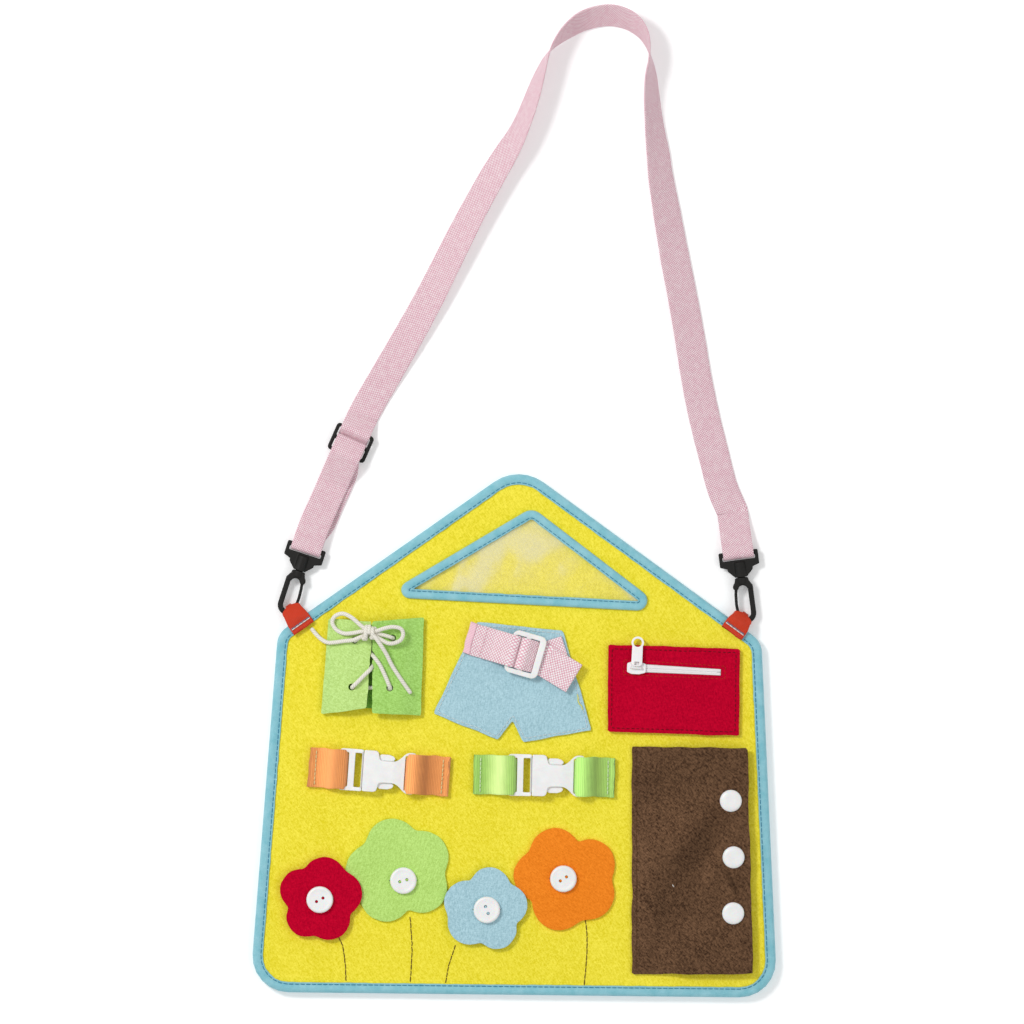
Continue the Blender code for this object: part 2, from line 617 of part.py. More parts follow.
def board():
    corners = centred_board_corners()
    edge = rounded(corners, BOARD_CORNER_RADII)
    felt_edge = rounded(corners, BOARD_CORNER_RADII, BINDING_FABRIC + GAP)
    channel_edge = rounded(corners, BOARD_CORNER_RADII, BINDING_FABRIC)
    opening = rounded(corners, BOARD_CORNER_RADII, BINDING_WIDTH)
    prism("back_felt", [felt_edge], BACK_BOTTOM, FELT, "yellow_felt")
    prism("core_board", [felt_edge], CORE_BOTTOM, CORE_THICKNESS, "core")
    prism("front_felt", [felt_edge], FRONT_BOTTOM, FELT, "yellow_felt")
    binding = prism("edge_binding", [edge], 0.0, BINDING_TOP, "blue_binding")
    bevel(binding, BINDING_ROUND)
    through = prism("binding_opening", [opening], -OVERRUN, BINDING_TOP + 2 * OVERRUN)
    channel = prism("binding_channel", [channel_edge], BINDING_FABRIC, BINDING_TOP - 2 * BINDING_FABRIC)
    combine(binding, through, "DIFFERENCE")
    combine(binding, channel, "DIFFERENCE")


def window():
    x, y = board_point(WINDOW_CENTRE_SHARES)
    corners = scaled(WINDOW_CORNER_SHARES, WINDOW_WIDTH, WINDOW_HEIGHT)
    outer = rounded(corners, WINDOW_CORNER_RADII)
    inner = rounded(corners, WINDOW_CORNER_RADII, WINDOW_BINDING_WIDTH)
    sheet = rounded(corners, WINDOW_CORNER_RADII, WINDOW_SHEET_INSET)
    groove = rounded(corners, WINDOW_CORNER_RADII, WINDOW_SHEET_INSET - GAP)
    matrix = place(x, y)
    binding = prism("window_binding", [outer], ON_FRONT, WINDOW_BINDING_THICKNESS, "blue_binding", matrix)
    bevel(binding, BINDING_ROUND)
    through = prism("window_opening", [inner], ON_FRONT - OVERRUN, WINDOW_BINDING_THICKNESS + 2 * OVERRUN,
                    matrix=matrix)
    slot = prism("window_groove", [groove], ON_FRONT + WINDOW_LIP - GAP, WINDOW_SHEET + 2 * GAP, matrix=matrix)
    combine(binding, through, "DIFFERENCE")
    combine(binding, slot, "DIFFERENCE")
    prism("window_sheet", [sheet], ON_FRONT + WINDOW_LIP, WINDOW_SHEET, "clear_vinyl", matrix)


def lace_panel():
    x, y = board_point(LACE_PANEL_CENTRE_SHARES)
    matrix = place(x, y)
    width, height = LACE_PANEL_WIDTH, LACE_PANEL_HEIGHT
    left = scaled(LACE_FLAP_CORNER_SHARES, width, height)
    right = scaled(LACE_RIGHT_CORNER_SHARES, width, height)
    back = rounded([left[4], right[2], right[1], left[0]], [SMALL_ROUND] * 4, LACE_BACKING_INSET)
    prism("lace_backing", [back], ON_FRONT, FELT, "dark_green_felt", matrix)
    seat = SECOND_LEVEL + FELT / 2
    half = width * (0.5 + 0.06)
    rise = ((half, 0.0), (half - LACE_FLAP_SEAM, 0.0), ((half + LACE_FLAP_FLAT) / 2 - LACE_FLAP_SEAM / 2, 0.5),
            (LACE_FLAP_FLAT, 1.0), (-LACE_NOTCH_DIAMETER, 1.0))
    for name, outline, side in (("lace_left_flap", left, -1), ("lace_right_flap", right, 1)):
        line = [(side * reach, seat + LACE_FLAP_RISE * share) for reach, share in rise]
        flap = prism(name, [thick_outline(line, FELT)], -height, 2 * height, "green_felt", matrix, UPRIGHT)
        plan = prism(name + "_plan", [outline[::-1]], 0.0, seat + LACE_FLAP_RISE + OVERRUN, matrix=matrix)
        combine(flap, plan, "INTERSECT")
        for i, (hx, hy) in enumerate(scaled(LACE_HOLE_SHARES, width, height)):
            if hx * side > 0.0:
                hole = cylinder(f"{name}_hole_{i}", LACE_HOLE_DIAMETER / 2, 0.0,
                                seat + LACE_FLAP_RISE + OVERRUN, matrix=matrix @ place(hx, hy))
                combine(flap, hole, "DIFFERENCE")
        for i, (nx, ny) in enumerate(scaled(LACE_NOTCH_SHARES, width, height)):
            notch = cylinder(f"{name}_notch_{i}", LACE_NOTCH_DIAMETER / 2, 0.0, seat + LACE_FLAP_RISE + OVERRUN,
                             matrix=matrix @ place(nx, ny))
            combine(flap, notch, "DIFFERENCE")
    lace(matrix)


def lace(matrix):
    """One cotton lace: crossed through the four holes and the slit, and tied in a bow."""
    def route(points, spacing):
        return smooth([(px * MM, py * MM, FRONT_TOP + pz * MM) for px, py, pz in points], spacing)

    whole = tube("lace", route(LACED_ROUTE, LACE_POINT_SPACING), LACE_DIAMETER, "white_cotton", matrix)
    knot_at = LACED_ROUTE[0]
    shape = bmesh.new()
    bmesh.ops.create_uvsphere(shape, u_segments=16, v_segments=10, radius=1.0)
    bmesh.ops.scale(shape, vec=KNOT_RADII, verts=shape.verts)
    mesh = bpy.data.meshes.new("lace_knot")
    shape.to_mesh(mesh)
    shape.free()
    mesh.transform(Matrix.Translation((knot_at[0] * MM, knot_at[1] * MM + GAP, FRONT_TOP + (knot_at[2] + 1.2) * MM)))
    combine(whole, add("lace_knot", mesh, None, matrix), "UNION")
    for name, points in (("left_loop", LEFT_LOOP_ROUTE), ("right_loop", RIGHT_LOOP_ROUTE),
                         ("left_tail", LEFT_TAIL_ROUTE), ("right_tail", RIGHT_TAIL_ROUTE)):
        piece = tube("lace_" + name, route(points, BOW_POINT_SPACING), LACE_DIAMETER, matrix=matrix)
        combine(whole, piece, "UNION")


def shorts():
    x, y = board_point(SHORTS_CENTRE_SHARES)
    corners = scaled(SHORTS_CORNER_SHARES, SHORTS_WIDTH, SHORTS_HEIGHT)
    prism("shorts_felt", [corners[::-1]], ON_FRONT, FELT, "blue_felt", place(x, y))
    belt()


def belt():
    """The belt frame on the left strap's loop, and the right strap threaded through it."""
    x, y = board_point(BELT_CENTRE_SHARES)
    low = SECOND_LEVEL + WEBBING / 2
    bar_reach = math.hypot(BELT_BAR, BELT_FRAME_THICKNESS) / 2
    wrap = bar_reach + GAP + WEBBING / 2
    frame_z = SECOND_LEVEL + 2 * (WEBBING + GAP) + BELT_FRAME_THICKNESS / 2
    bar_step = (BELT_FRAME_LENGTH - BELT_BAR) / 2
    matrix = place(x, y, 0.0, BELT_TURN)
    layer = WEBBING + GAP
    left_line = belt_line((
        (-BELT_LEFT_REACH, low, 0.0, 1), (-bar_step - BELT_HEM, low, 0.0, 1), (-bar_step, frame_z, wrap, -1),
        (-bar_step - BELT_HEM, low + layer, 0.0, 1), (-bar_step - BELT_HEM - 2 * wrap, low + layer, 0.0, 1)))
    webbing("belt_left_strap", straight_rows(left_line, lambda _: BELT_WIDTH), WEBBING, "pink_webbing", matrix)

    hinge = matrix @ place(-bar_step, 0.0, frame_z)
    outer = rectangle(-BELT_BAR / 2, BELT_FRAME_LENGTH + BELT_END_BAR_EXTRA - BELT_BAR / 2,
                      -BELT_FRAME_WIDTH / 2, BELT_FRAME_WIDTH / 2, BELT_FRAME_ROUND)
    frame = prism("belt_buckle", [outer], -BELT_FRAME_THICKNESS / 2, BELT_FRAME_THICKNESS, "white_plastic", hinge)
    bevel(frame, SMALL_ROUND)
    for i in range(2):
        near = BELT_BAR / 2 + i * bar_step
        slot = box(f"belt_slot_{i}", (near, -BELT_WIDTH / 2 - GAP, -OVERRUN),
                   (near + bar_step - BELT_BAR, BELT_WIDTH / 2 + GAP, OVERRUN), matrix=hinge)
        combine(frame, slot, "DIFFERENCE")

    line = belt_line((
        (BELT_RIGHT_REACH, low, 0.0, 1), (bar_step - wrap, low, 0.0, 1), (0.0, frame_z, wrap, 1),
        (bar_step, frame_z, wrap, -1), (BELT_TAIL_REACH, low + 2 * layer, 0.0, 1)))
    bend_from = bar_step + BELT_END_BAR_EXTRA + BELT_BAR / 2
    rows = []
    for i, (px, pz) in enumerate(line):
        turn = 0.0
        if px > bend_from:
            turn = math.radians(BELT_RIGHT_TURN if i < len(line) / 2 else BELT_TAIL_TURN)
        offset = (px - bend_from) * math.sin(turn)
        along = bend_from + (px - bend_from) * math.cos(turn) if turn else px
        rows.append((Vector((along, offset, pz)), Vector((-math.sin(turn), math.cos(turn), 0.0)), BELT_WIDTH))
    webbing("belt_right_strap", rows, WEBBING, "pink_webbing", matrix)


def pocket():
    """The zip's tape lies on the front felt, and the panel lies on the tape round the coil."""
    x, y = board_point(POCKET_CENTRE_SHARES)
    matrix = place(x, y)
    panel_bottom = ON_FRONT + ZIP_TAPE_THICKNESS + GAP
    zip_matrix = matrix @ place(ZIP_START_X, ZIP_START_Y, 0.0, ZIP_TURN)
    panel = prism("pocket_panel", [scaled(POCKET_CORNER_SHARES, POCKET_WIDTH, POCKET_HEIGHT)[::-1]],
                  panel_bottom, FELT, "red_felt", matrix)
    half_slot = ZIP_SLOT_WIDTH / 2
    start = -SLIDER_LENGTH / 2
    slot = prism("zip_slot", [rectangle(start, ZIP_LENGTH, -half_slot, half_slot, SMALL_ROUND)],
                 panel_bottom - OVERRUN, FELT + 2 * OVERRUN, matrix=zip_matrix)
    combine(panel, slot, "DIFFERENCE")
    margin = (ZIP_TAPE_WIDTH - ZIP_SLOT_WIDTH) / 2
    tape = rectangle(start - margin, ZIP_LENGTH + margin, -ZIP_TAPE_WIDTH / 2, ZIP_TAPE_WIDTH / 2)
    prism("zip_tape", [tape], ON_FRONT, ZIP_TAPE_THICKNESS, "white_nylon", zip_matrix)
    coil_top = zip_coil(panel_bottom, zip_matrix)
    zip_slider(coil_top, panel_bottom + FELT + GAP, zip_matrix)


def zip_coil(bottom, matrix):
    """The closed coil: a bar with a notch on each side between its turns."""
    start = -SLIDER_LENGTH / 2 + SMALL_ROUND
    turns = int((ZIP_LENGTH - SMALL_ROUND - start) / COIL_PITCH)
    upper = []
    for i in range(turns):
        near = start + i * COIL_PITCH
        upper += [(near, COIL_WIDTH / 2 - COIL_NOTCH), (near + COIL_PITCH * 0.25, COIL_WIDTH / 2),
                  (near + COIL_PITCH * 0.75, COIL_WIDTH / 2), (near + COIL_PITCH, COIL_WIDTH / 2 - COIL_NOTCH)]
    outline = []
    for point in upper:
        if not outline or point != outline[-1]:
            outline.append(point)
    outline = outline + [(px, -py) for px, py in outline[::-1]]
    prism("zip_coil", [outline], bottom, COIL_THICKNESS, "white_nylon", matrix)
    return bottom + COIL_THICKNESS


def zip_slider(coil_top, felt_top, matrix):
    """A channel over the coil with a bail on top, and the pull looped round the bail."""
    roof = max(coil_top, felt_top) + GAP
    half = SLIDER_WIDTH / 2
    nose = half * SLIDER_NOSE_SHARE
    length = SLIDER_LENGTH / 2
    plan = [(-length, -nose), (-length * 0.5, -half), (length * 0.3, -half), (length, -nose), (length, nose),
            (length * 0.3, half), (-length * 0.5, half), (-length, nose)]
    plan = rounded(plan, [SLIDER_WALL] * len(plan), steps=3)
    slider = prism("zip_slider", [plan], felt_top, roof + SLIDER_PLATE - felt_top, "white_plastic", matrix)
    bevel(slider, SMALL_ROUND / 2)
    tunnel = COIL_WIDTH / 2 + GAP
    channel = box("zip_slider_channel", (-length - OVERRUN, -tunnel, felt_top - OVERRUN),
                  (length + OVERRUN, tunnel, roof), matrix=matrix)
    combine(slider, channel, "DIFFERENCE")
    top = roof + SLIDER_PLATE
    axis_z = top + BAIL_RISE
    span = BAIL_HALF_SPAN
    foot = BAIL_DIAMETER / 2
    arch = [(-span - foot, 0.0, top - SLIDER_PLATE / 2), (-span, 0.0, axis_z - foot), (-span + foot, 0.0, axis_z),
            (span - foot, 0.0, axis_z), (span, 0.0, axis_z - foot), (span + foot, 0.0, top - SLIDER_PLATE / 2)]
    combine(slider, tube("zip_bail", arch, BAIL_DIAMETER, matrix=matrix), "UNION")
    zip_pull(axis_z, matrix)


def zip_pull(axis_z, matrix):
    hinge = matrix @ place(0.0, 0.0, axis_z) @ Matrix.Rotation(math.radians(-PULL_DROOP), 4, "X")
    eye_inner = BAIL_DIAMETER / 2 + GAP
    eye_outer = eye_inner + PULL_EYE_WALL
    ring = PULL_RING_DIAMETER / 2
    half_stem = PULL_STEM_WIDTH / 2
    stem_end = PULL_LENGTH - ring * 0.7
    outline = [(-half_stem * 0.7, eye_inner), (half_stem * 0.7, eye_inner), (half_stem, stem_end)]
    first = math.atan2(-0.7, half_stem / ring)
    steps = 18
    for i in range(steps + 1):
        angle = first + (math.pi - 2 * first) * i / steps
        outline.append((ring * math.cos(angle), PULL_LENGTH + ring * math.sin(angle)))
    outline.append((-half_stem, stem_end))
    hole = circle(PULL_HOLE_DIAMETER / 2, (0.0, PULL_LENGTH), 20)
    pull = prism("zip_pull", [outline, hole], -PULL_THICKNESS / 2, PULL_THICKNESS, "white_plastic", hinge)
    eye = cylinder("zip_pull_eye", eye_outer, -PULL_EYE_WIDTH / 2, PULL_EYE_WIDTH, matrix=hinge, turned=ALONG_X,
                   facets=FACETS_SMALL)
    bore = cylinder("zip_pull_bore", eye_inner, -PULL_EYE_WIDTH, 2 * PULL_EYE_WIDTH, matrix=hinge, turned=ALONG_X,
                    facets=FACETS_SMALL)
    combine(pull, eye, "UNION")
    combine(pull, bore, "DIFFERENCE")


def buckle(colour, centre_shares, turn):
    """A side-release buckle between two webbing tabs that are sewn to the board."""
    x, y = board_point(centre_shares)
    middle = (SOCKET_LENGTH - CLIP_LENGTH) / 2
    bar_reach = max(math.hypot(SOCKET_TAIL_THICKNESS, SOCKET_END_BAR), math.hypot(CLIP_THICKNESS, CLIP_END_BAR)) / 2
    axis_z = ON_FRONT + WEBBING + GAP + bar_reach
    matrix = place(x, y, 0.0, turn) @ place(-middle, 0.0, axis_z)
    clip(colour, matrix)
    for name, side in (("upper", 1), ("lower", -1)):
        arm(f"{colour}_{name}_arm", side, matrix)
    socket(colour, matrix)
    webbing_tab(f"{colour}_left_tab", f"{colour}_webbing", matrix, CLIP_LENGTH - CLIP_END_BAR / 2, -1, CLIP_THICKNESS,
                CLIP_END_BAR)
    webbing_tab(f"{colour}_right_tab", f"{colour}_webbing", matrix, SOCKET_LENGTH - SOCKET_END_BAR / 2, 1,
                SOCKET_TAIL_THICKNESS, SOCKET_END_BAR)


def clip(colour, matrix):
    half = CLIP_WIDTH / 2
    neck = CLIP_NECK_WIDTH / 2
    shoulder = CLIP_END_BAR / 2
    root_edge = ARM_PIVOT - ARM_ROOT_RADIUS - GAP
    corner = SOCKET_ROUND * 2
    plan = rounded(
        [(-CLIP_LENGTH, -half), (-GAP - shoulder, -half), (-GAP, -neck), (root_edge, -neck),
         (root_edge, -TONGUE_WIDTH), (TONGUE_LENGTH, -TONGUE_WIDTH / 2), (TONGUE_LENGTH, TONGUE_WIDTH / 2),
         (root_edge, TONGUE_WIDTH), (root_edge, neck), (-GAP, neck), (-GAP - shoulder, half), (-CLIP_LENGTH, half)],
        [corner, corner, SMALL_ROUND, SMALL_ROUND, SMALL_ROUND, corner, corner, SMALL_ROUND, SMALL_ROUND,
         SMALL_ROUND, corner, corner], steps=3)
    body = prism(f"{colour}_clip", [plan], -CLIP_THICKNESS / 2, CLIP_THICKNESS, "white_plastic", matrix)
    bevel(body, SMALL_ROUND)
    tab_slot = -CLIP_LENGTH + CLIP_END_BAR
    open_slot = tab_slot + CLIP_TAB_SLOT + CLIP_MIDDLE_BAR
    for name, near, length in (("tab_slot", tab_slot, CLIP_TAB_SLOT), ("open_slot", open_slot, CLIP_OPEN_SLOT)):
        slot = prism(f"{colour}_{name}", [rectangle(near, near + length, -CLIP_SLOT_WIDTH / 2, CLIP_SLOT_WIDTH / 2,
                                                   SMALL_ROUND)],
                     -CLIP_THICKNESS, 2 * CLIP_THICKNESS, matrix=matrix)
        combine(body, slot, "DIFFERENCE")


def arm(name, side, matrix):
    """A spring arm: a slim beam from its flexing root to the lobe that is pressed."""
    pivot = matrix @ place(ARM_PIVOT, side * ARM_OFFSET)
    lobe = ARM_LOBE_WIDTH - ARM_OFFSET
    beam = ARM_BEAM / 2
    start = ARM_LOBE_START - ARM_PIVOT
    end = ARM_REACH - ARM_PIVOT
    root = [(ARM_ROOT_RADIUS * math.cos(a), ARM_ROOT_RADIUS * math.sin(a))
            for a in (math.radians(60.0 + 30.0 * i) for i in range(9))]
    outline = root + [(start, -beam), (end - beam, -beam), (end, beam / 2), (end - beam, lobe * 0.7),
                      ((start + end) / 2 + beam, lobe), (start + beam, lobe), (start, lobe * 0.75),
                      (start - beam, beam)]
    outline = [(px, side * py) for px, py in outline]
    piece = prism(name, [outline], -CLIP_THICKNESS / 2, CLIP_THICKNESS, "white_plastic", pivot)
    bevel(piece, SMALL_ROUND / 2, 1)


def socket(colour, matrix):
    rim, waist, flare = SOCKET_RIM_WIDTH / 2, SOCKET_WAIST_WIDTH / 2, SOCKET_FLARE_WIDTH / 2
    end, step = SOCKET_LENGTH, SOCKET_RIM_LENGTH
    bend = end - SOCKET_END_BAR - SOCKET_TAB_SLOT
    lower = [(0.0, -rim), (step, -rim), (step + SOCKET_ROUND, -waist * 1.05), (SOCKET_WAIST - SOCKET_ROUND, -waist),
             ((SOCKET_WAIST + bend) / 2, -flare * 0.7), (bend - SOCKET_ROUND, -flare * 0.95),
             (end - SOCKET_END_BAR * 0.5, -flare), (end, -flare * 0.9)]
    plan = lower + [(px, -py) for px, py in lower[::-1]]
    body = prism(f"{colour}_socket", [plan], -SOCKET_THICKNESS / 2, SOCKET_THICKNESS, "white_plastic", matrix)
    half, tail = SOCKET_THICKNESS / 2, SOCKET_TAIL_THICKNESS / 2
    profile = [(0.0, -half * 0.92), (SOCKET_ROUND, -half), (SOCKET_WAIST, -half), (bend, -tail), (end, -tail * 0.9)]
    profile = profile + [(px, -py) for px, py in profile[::-1]]
    side = prism(f"{colour}_socket_side", [profile], -SOCKET_RIM_WIDTH, 2 * SOCKET_RIM_WIDTH, matrix=matrix,
                 turned=UPRIGHT)
    combine(body, side, "INTERSECT")
    bevel(body, SMALL_ROUND, 1)
    hollow = box(f"{colour}_socket_hollow", (-OVERRUN, -SOCKET_CAVITY_WIDTH / 2, -SOCKET_CAVITY_HEIGHT / 2),
                 (SOCKET_CAVITY_LENGTH, SOCKET_CAVITY_WIDTH / 2, SOCKET_CAVITY_HEIGHT / 2), matrix=matrix)
    combine(body, hollow, "DIFFERENCE")
    slot = prism(f"{colour}_socket_slot",
                 [rectangle(bend, end - SOCKET_END_BAR, -CLIP_SLOT_WIDTH / 2, CLIP_SLOT_WIDTH / 2, SMALL_ROUND)],
                 -SOCKET_THICKNESS, 2 * SOCKET_THICKNESS, matrix=matrix)
    combine(body, slot, "DIFFERENCE")


def webbing_tab(name, finish, matrix, bar_at, side, bar_thickness, bar_length):
    """Webbing round a bar, both ends sewn to the board."""
    drop = FRONT_TOP - matrix.translation.z
    low = drop + GAP + WEBBING / 2
    wrap = math.hypot(bar_thickness, bar_length) / 2 + GAP + WEBBING / 2
    reach = bar_at + TAB_REACH - bar_length
    rise = bar_at + TAB_RISE_REACH
    line = belt_line((
        (-reach, low, 0.0, 1), (-rise, low, 0.0, 1), (-bar_at, 0.0, wrap, -1), (-rise, low + WEBBING + GAP, 0.0, 1),
        (-reach, low + WEBBING + GAP, 0.0, 1)))

    def width_at(px):
        share = max(0.0, min(1.0, (-px - bar_at + SOCKET_ROUND) / TAB_SPREAD_LENGTH))
        return TAB_BAR_WIDTH + (TAB_WIDTH - TAB_BAR_WIDTH) * share

    turned = matrix if side < 0 else matrix @ Matrix.Rotation(math.pi, 4, "Z")
    webbing(name, straight_rows(line, width_at), WEBBING, finish, turned)


def door():
    """The door hangs on its left seam and is held on the right by three snaps."""
    x, y = board_point(DOOR_CENTRE_SHARES)
    hinge_x = x - DOOR_WIDTH / 2
    radius = FELT / 2
    hinge_z = ON_FRONT + radius
    matrix = place(hinge_x, y, hinge_z)
    start, end = (DOOR_WIDTH * share for share in DOOR_RISE_SHARES)
    line = [(0.0, 0.0), (start, 0.0)]
    steps = 6
    for i in range(1, steps + 1):
        share = i / steps
        line.append((start + (end - start) * share, DOOR_RISE * (1 - math.cos(math.pi * share)) / 2))
    line.append((DOOR_WIDTH * 1.1, DOOR_RISE))
    profile = thick_outline(line, FELT)
    nose = [(radius * math.cos(a), radius * math.sin(a)) for a in (math.radians(120.0 + 30.0 * i) for i in range(5))]
    profile = profile + nose[::-1]
    panel = prism("door_panel", [profile], -DOOR_HEIGHT, 2 * DOOR_HEIGHT, "brown_felt", matrix, UPRIGHT)
    plan_corners = scaled(DOOR_CORNER_SHARES, DOOR_WIDTH, DOOR_HEIGHT)
    plan_corners[0] = (-radius, plan_corners[0][1])
    plan_corners[3] = (-radius, plan_corners[3][1])
    plan = prism("door_plan", [plan_corners[::-1]], -OVERRUN, DOOR_RISE + 3 * OVERRUN, matrix=matrix)
    combine(panel, plan, "INTERSECT")
    under = hinge_z + DOOR_RISE - radius
    for i, (sx, sy) in enumerate(SNAP_SHARES, start=1):
        at = place(hinge_x + DOOR_WIDTH * sx, y + DOOR_HEIGHT * sy)
        snap(i, at, under, panel)


def snap(number, at, under, panel):
    """Cap and socket clamp the door felt, and the socket presses over the stud on the board."""
    post = CAP_POST_DIAMETER / 2
    hole = cylinder(f"door_hole_{number}", post + GAP, under - OVERRUN, FELT + 2 * OVERRUN, matrix=at,
                    facets=FACETS_SMALL)
    combine(panel, hole, "DIFFERENCE")
    cap_bottom = under + FELT + GAP
    radius = CAP_DIAMETER / 2
    socket_top = under - GAP
    socket_bottom = socket_top - SOCKET_SNAP_HEIGHT
    turned_part(f"door_cap_{number}", (
        (0.0, cap_bottom + CAP_THICKNESS), (radius * 0.5, cap_bottom + CAP_THICKNESS * 0.95),
        (radius * 0.82, cap_bottom + CAP_THICKNESS * 0.74), (radius * 0.97, cap_bottom + CAP_THICKNESS * 0.42),
        (radius, cap_bottom + CAP_THICKNESS * 0.2), (radius * 0.97, cap_bottom), (post, cap_bottom),
        (post, socket_top + GAP), (0.0, socket_top + GAP)), "white_plastic", at)
    rim = SOCKET_SNAP_DIAMETER / 2
    stud = STUD_DIAMETER / 2
    turned_part(f"door_socket_{number}", (
        (0.0, socket_top), (rim * 0.92, socket_top), (rim, socket_top - SMALL_ROUND), (rim, socket_bottom),
        (stud + GAP, socket_bottom), (stud + GAP, socket_top - SMALL_ROUND * 2), (0.0, socket_top - SMALL_ROUND * 2)),
        "white_plastic", at)
    flange = STUD_FLANGE_DIAMETER / 2
    top = ON_FRONT + STUD_HEIGHT
    turned_part(f"door_stud_{number}", (
        (0.0, top), (stud * 0.7, top), (stud, top - SMALL_ROUND), (stud, top - SMALL_ROUND * 2),
        (stud * 0.84, ON_FRONT + STUD_FLANGE), (flange, ON_FRONT + STUD_FLANGE), (flange, ON_FRONT), (0.0, ON_FRONT)),
        "white_plastic", at)


def petal_share(angle):
    """How far five round lobes run together reach at an angle, as a share of the flower's reach."""
    size, out = PETAL_SIZE_SHARE, 1.0 - PETAL_SIZE_SHARE
    total = 0.0
    for i in range(PETALS):
        lobe = angle - math.tau * i / PETALS
        across = out * math.sin(lobe)
        along = out * math.cos(lobe) + math.sqrt(max(0.0, size * size - across * across))
        if abs(across) < size and along > 0.0:
            total += along ** PETAL_BLEND
    return min(1.0, total ** (1.0 / PETAL_BLEND))


def flower(colour, button_shares, centre, reach, turn, level):
    """Felt petals free to turn on the thread shank of a button."""
    x, y = board_point(button_shares)
    at = place(x, y)
    bottom = SECOND_LEVEL if level else ON_FRONT
    if level:
        bottom += GAP
    outline = []
    for i in range(PETAL_POINTS):
        angle = math.tau * i / PETAL_POINTS
        radius = reach * petal_share(angle)
        turned = angle + math.radians(turn + 90.0)
        outline.append((centre[0] * MM + radius * math.cos(turned), centre[1] * MM + radius * math.sin(turned)))
    petals = prism(f"{colour}_flower", [outline], bottom, FELT, f"{colour}_felt", at)
    hole = cylinder(f"{colour}_flower_hole", FLOWER_HOLE_DIAMETER / 2, bottom - OVERRUN, FELT + 2 * OVERRUN,
                    matrix=at)
    slit = box(f"{colour}_flower_slit", (-SLIT_LENGTH / 2, -SLIT_WIDTH / 2, bottom - OVERRUN),
               (SLIT_LENGTH / 2, SLIT_WIDTH / 2, bottom + FELT + OVERRUN), matrix=at)
    combine(petals, hole, "DIFFERENCE")
    combine(petals, slit, "DIFFERENCE")
    button(colour, bottom + FELT + GAP, at)


def button(colour, bottom, at):
    radius = BUTTON_DIAMETER / 2
    dish = BUTTON_DISH_DIAMETER / 2
    top = bottom + BUTTON_THICKNESS
    shank = SHANK_DIAMETER / 2
    body = turned_part(f"{colour}_button", (
        (0.0, top - BUTTON_DISH_DEPTH), (dish * 0.9, top - BUTTON_DISH_DEPTH), (dish, top - SMALL_ROUND / 2),
        (dish + SMALL_ROUND, top), (radius - SMALL_ROUND * 2, top - SMALL_ROUND / 2),
        (radius, top - BUTTON_THICKNESS / 2), (radius - SMALL_ROUND * 2, bottom), (shank, bottom),
        (shank, ON_FRONT), (0.0, ON_FRONT)), "white_plastic", at)
    for i, side in enumerate((-1, 1)):
        hole = cylinder(f"{colour}_button_hole_{i}", BUTTON_HOLE_DIAMETER / 2, top - BUTTON_THICKNESS * 0.7,
                        BUTTON_THICKNESS, matrix=at @ place(side * BUTTON_HOLE_OFFSET, 0.0), facets=FACETS_SMALL)
        combine(body, hole, "DIFFERENCE")


def hook_frame(side_name, heading):
    """The strap bar's place, with +X towards the strap and Z up."""
    angle = math.radians(heading)
    centre = ring_centre(side_name)
    x = centre[0] + HOOK_RING_CENTRE * math.cos(angle)
    y = centre[1] + HOOK_RING_CENTRE * math.sin(angle)
    return place(x, y, 0.0, heading)


def snap_hook(side_name, heading, gate_side):
    """A swivel snap hook lying flat: base on the strap, hook turning in it, gate flexing inwards."""
    matrix = hook_frame(side_name, heading) @ place(0.0, 0.0, HOOK_BAR_HEIGHT)
    half_bar = HOOK_BAR / 2
    slot_end = half_bar + HOOK_SLOT_LENGTH
    frame_end = slot_end + HOOK_CROSS_BAR
    shoulder_end = frame_end + HOOK_SHOULDER_LENGTH
    half = HOOK_FRAME_WIDTH / 2
    shoulder = HOOK_SHOULDER_WIDTH / 2
    corner = half_bar
    plan = rounded(
        [(-shoulder_end, -HUB_RADIUS), (-shoulder_end, HUB_RADIUS), (-frame_end - corner, shoulder),
         (-frame_end, shoulder), (-frame_end + corner, half), (half_bar, half), (half_bar, -half),
         (-frame_end + corner, -half), (-frame_end, -shoulder), (-frame_end - corner, -shoulder)][::-1],
        [SMALL_ROUND] * 3 + [corner / 2] * 7, steps=2)
    base = prism(f"{side_name}_hook_base", [plan], -half_bar, HOOK_BAR, "black_plastic", matrix)
    bevel(base, SMALL_ROUND)
    slot = box(f"{side_name}_hook_slot", (-slot_end, -HOOK_SLOT_WIDTH / 2, -HOOK_BAR),
               (-half_bar, HOOK_SLOT_WIDTH / 2, HOOK_BAR), matrix=matrix)
    combine(base, slot, "DIFFERENCE")
    hub_start = -slot_end - half_bar
    hub = cylinder(f"{side_name}_hook_hub", HUB_RADIUS, hub_start - HUB_LENGTH, HUB_LENGTH, matrix=matrix,
                   turned=ALONG_X)
    combine(base, hub, "UNION")
    hub_end = hub_start - HUB_LENGTH
    bore = cylinder(f"{side_name}_hook_bore", HUB_BORE_RADIUS, hub_end - OVERRUN, HUB_BORE_LENGTH + OVERRUN,
                    matrix=matrix, turned=ALONG_X, facets=FACETS_SMALL * 2)
    combine(base, bore, "DIFFERENCE")
    hook_body(side_name, matrix, hub_end, gate_side)


